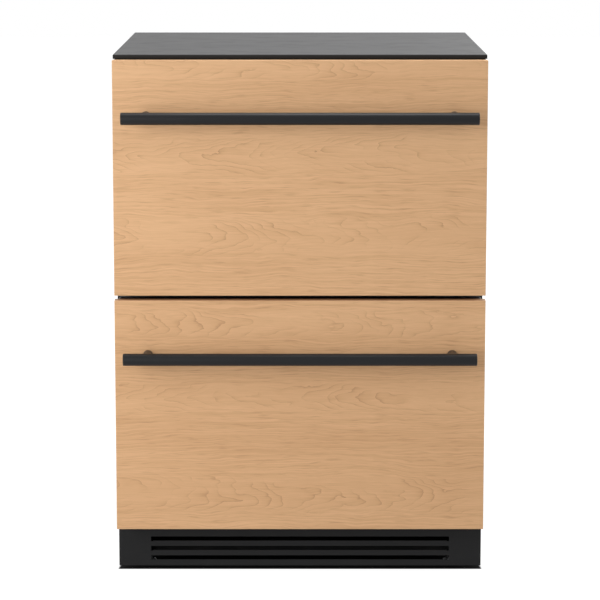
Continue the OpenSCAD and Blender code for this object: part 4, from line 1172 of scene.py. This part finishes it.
def slideScrews(tier):
    low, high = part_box(tier + "_slide_inners")
    ys = (*screwRows["slideY"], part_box(tier + "_drawer_frame")[1].y - screwRows["fromRear"])
    deep = high.x - screwRows["seat"]
    for side, way in ((-1, "left"), (1, "right")):
        points = [(side * deep, y, (low.z + high.z) / 2) for y in ys]
        driveScrews(f"{tier}_slide_screws_{way}", tier + "_slide_inners", points, way, seed=7)


rearScrews()
for tier in tiers:
    slideScrews(tier)
bpy.data.objects.remove(screwSource)
print("screws done")


# Room

ground = {"size": 14, "matt": 0.24, "paintedShade": 0.03, "glow": 0.92, "sharp": 0.003, "soft": 0.03}


def makeFloor():
    f = Finish("white_floor")
    # painted shadow: the floor under the case is painted near black, as no light reaches it; its edge is
    # sharp behind the kick plate and soft elsewhere
    kickLow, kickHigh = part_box("kick_grille")
    sharp, soft = ground["sharp"], ground["soft"]
    point = f.place()
    deep = f.part(point, "Y") - kickLow.y
    toBack = f.part(point, "Y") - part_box("base_pan")[1].y
    toSide = f.part(point, "X").math("ABSOLUTE") - (kickHigh.x + sharp)
    edge = f.step(deep, 0.0, 4 * soft, sharp, soft)
    under = (toSide / edge).math("MAXIMUM", toBack / soft).math("MAXIMUM", deep / -sharp)
    outside = f.step(under, -1.0, 0.0)
    paintedShade, matt = [f.make("ShaderNodeBsdfDiffuse", None, {"Color": rgba((ground[key],) * 3)})
                  for key in ("paintedShade", "matt")]
    glow = f.make("ShaderNodeEmission", None, {"Strength": ground["glow"]})
    bright = f.make("ShaderNodeAddShader", None, {0: matt, 1: glow})
    lit = f.make("ShaderNodeMixShader", None, {0: f.seen(), 1: matt, 2: bright})
    both = f.make("ShaderNodeMixShader", None, {0: outside, 1: paintedShade, 2: lit})
    f.make("ShaderNodeOutputMaterial", None, {"Surface": both})
    bm = bmesh.new()
    bmesh.ops.create_grid(bm, x_segments=1, y_segments=1, size=ground["size"])
    mesh = meshOf(bm, "floor")
    mesh.materials.append(f.material)
    newObject("floor", mesh)


class RoomLight(NodeMaker):
    def __init__(self):
        self.world = bpy.data.worlds.new("room")
        bpy.context.scene.world = self.world
        self.world.use_nodes = True
        self.tree = self.world.node_tree
        self.tree.nodes.clear()
        room, bright = [self.make("ShaderNodeBackground", None,
                                  {"Color": rgba((1, 1, 1)), "Strength": lighting[key]})
                        for key in ("room", "seen")]
        both = self.make("ShaderNodeMixShader", None, {0: self.seen(), 1: room, 2: bright})
        self.make("ShaderNodeOutputWorld", None, {"Surface": both})


def makeLamps():
    for name, (place, aim, size, watts) in lighting["lamps"].items():
        lamp = bpy.data.lights.new(name, "AREA")
        lamp.size, lamp.energy = size, watts
        obj = newObject(name, lamp)
        obj.location = place
        obj.rotation_euler = (Vector(aim) - Vector(place)).to_track_quat("-Z", "Y").to_euler()


makeFloor()
RoomLight()
makeLamps()
print("room done")
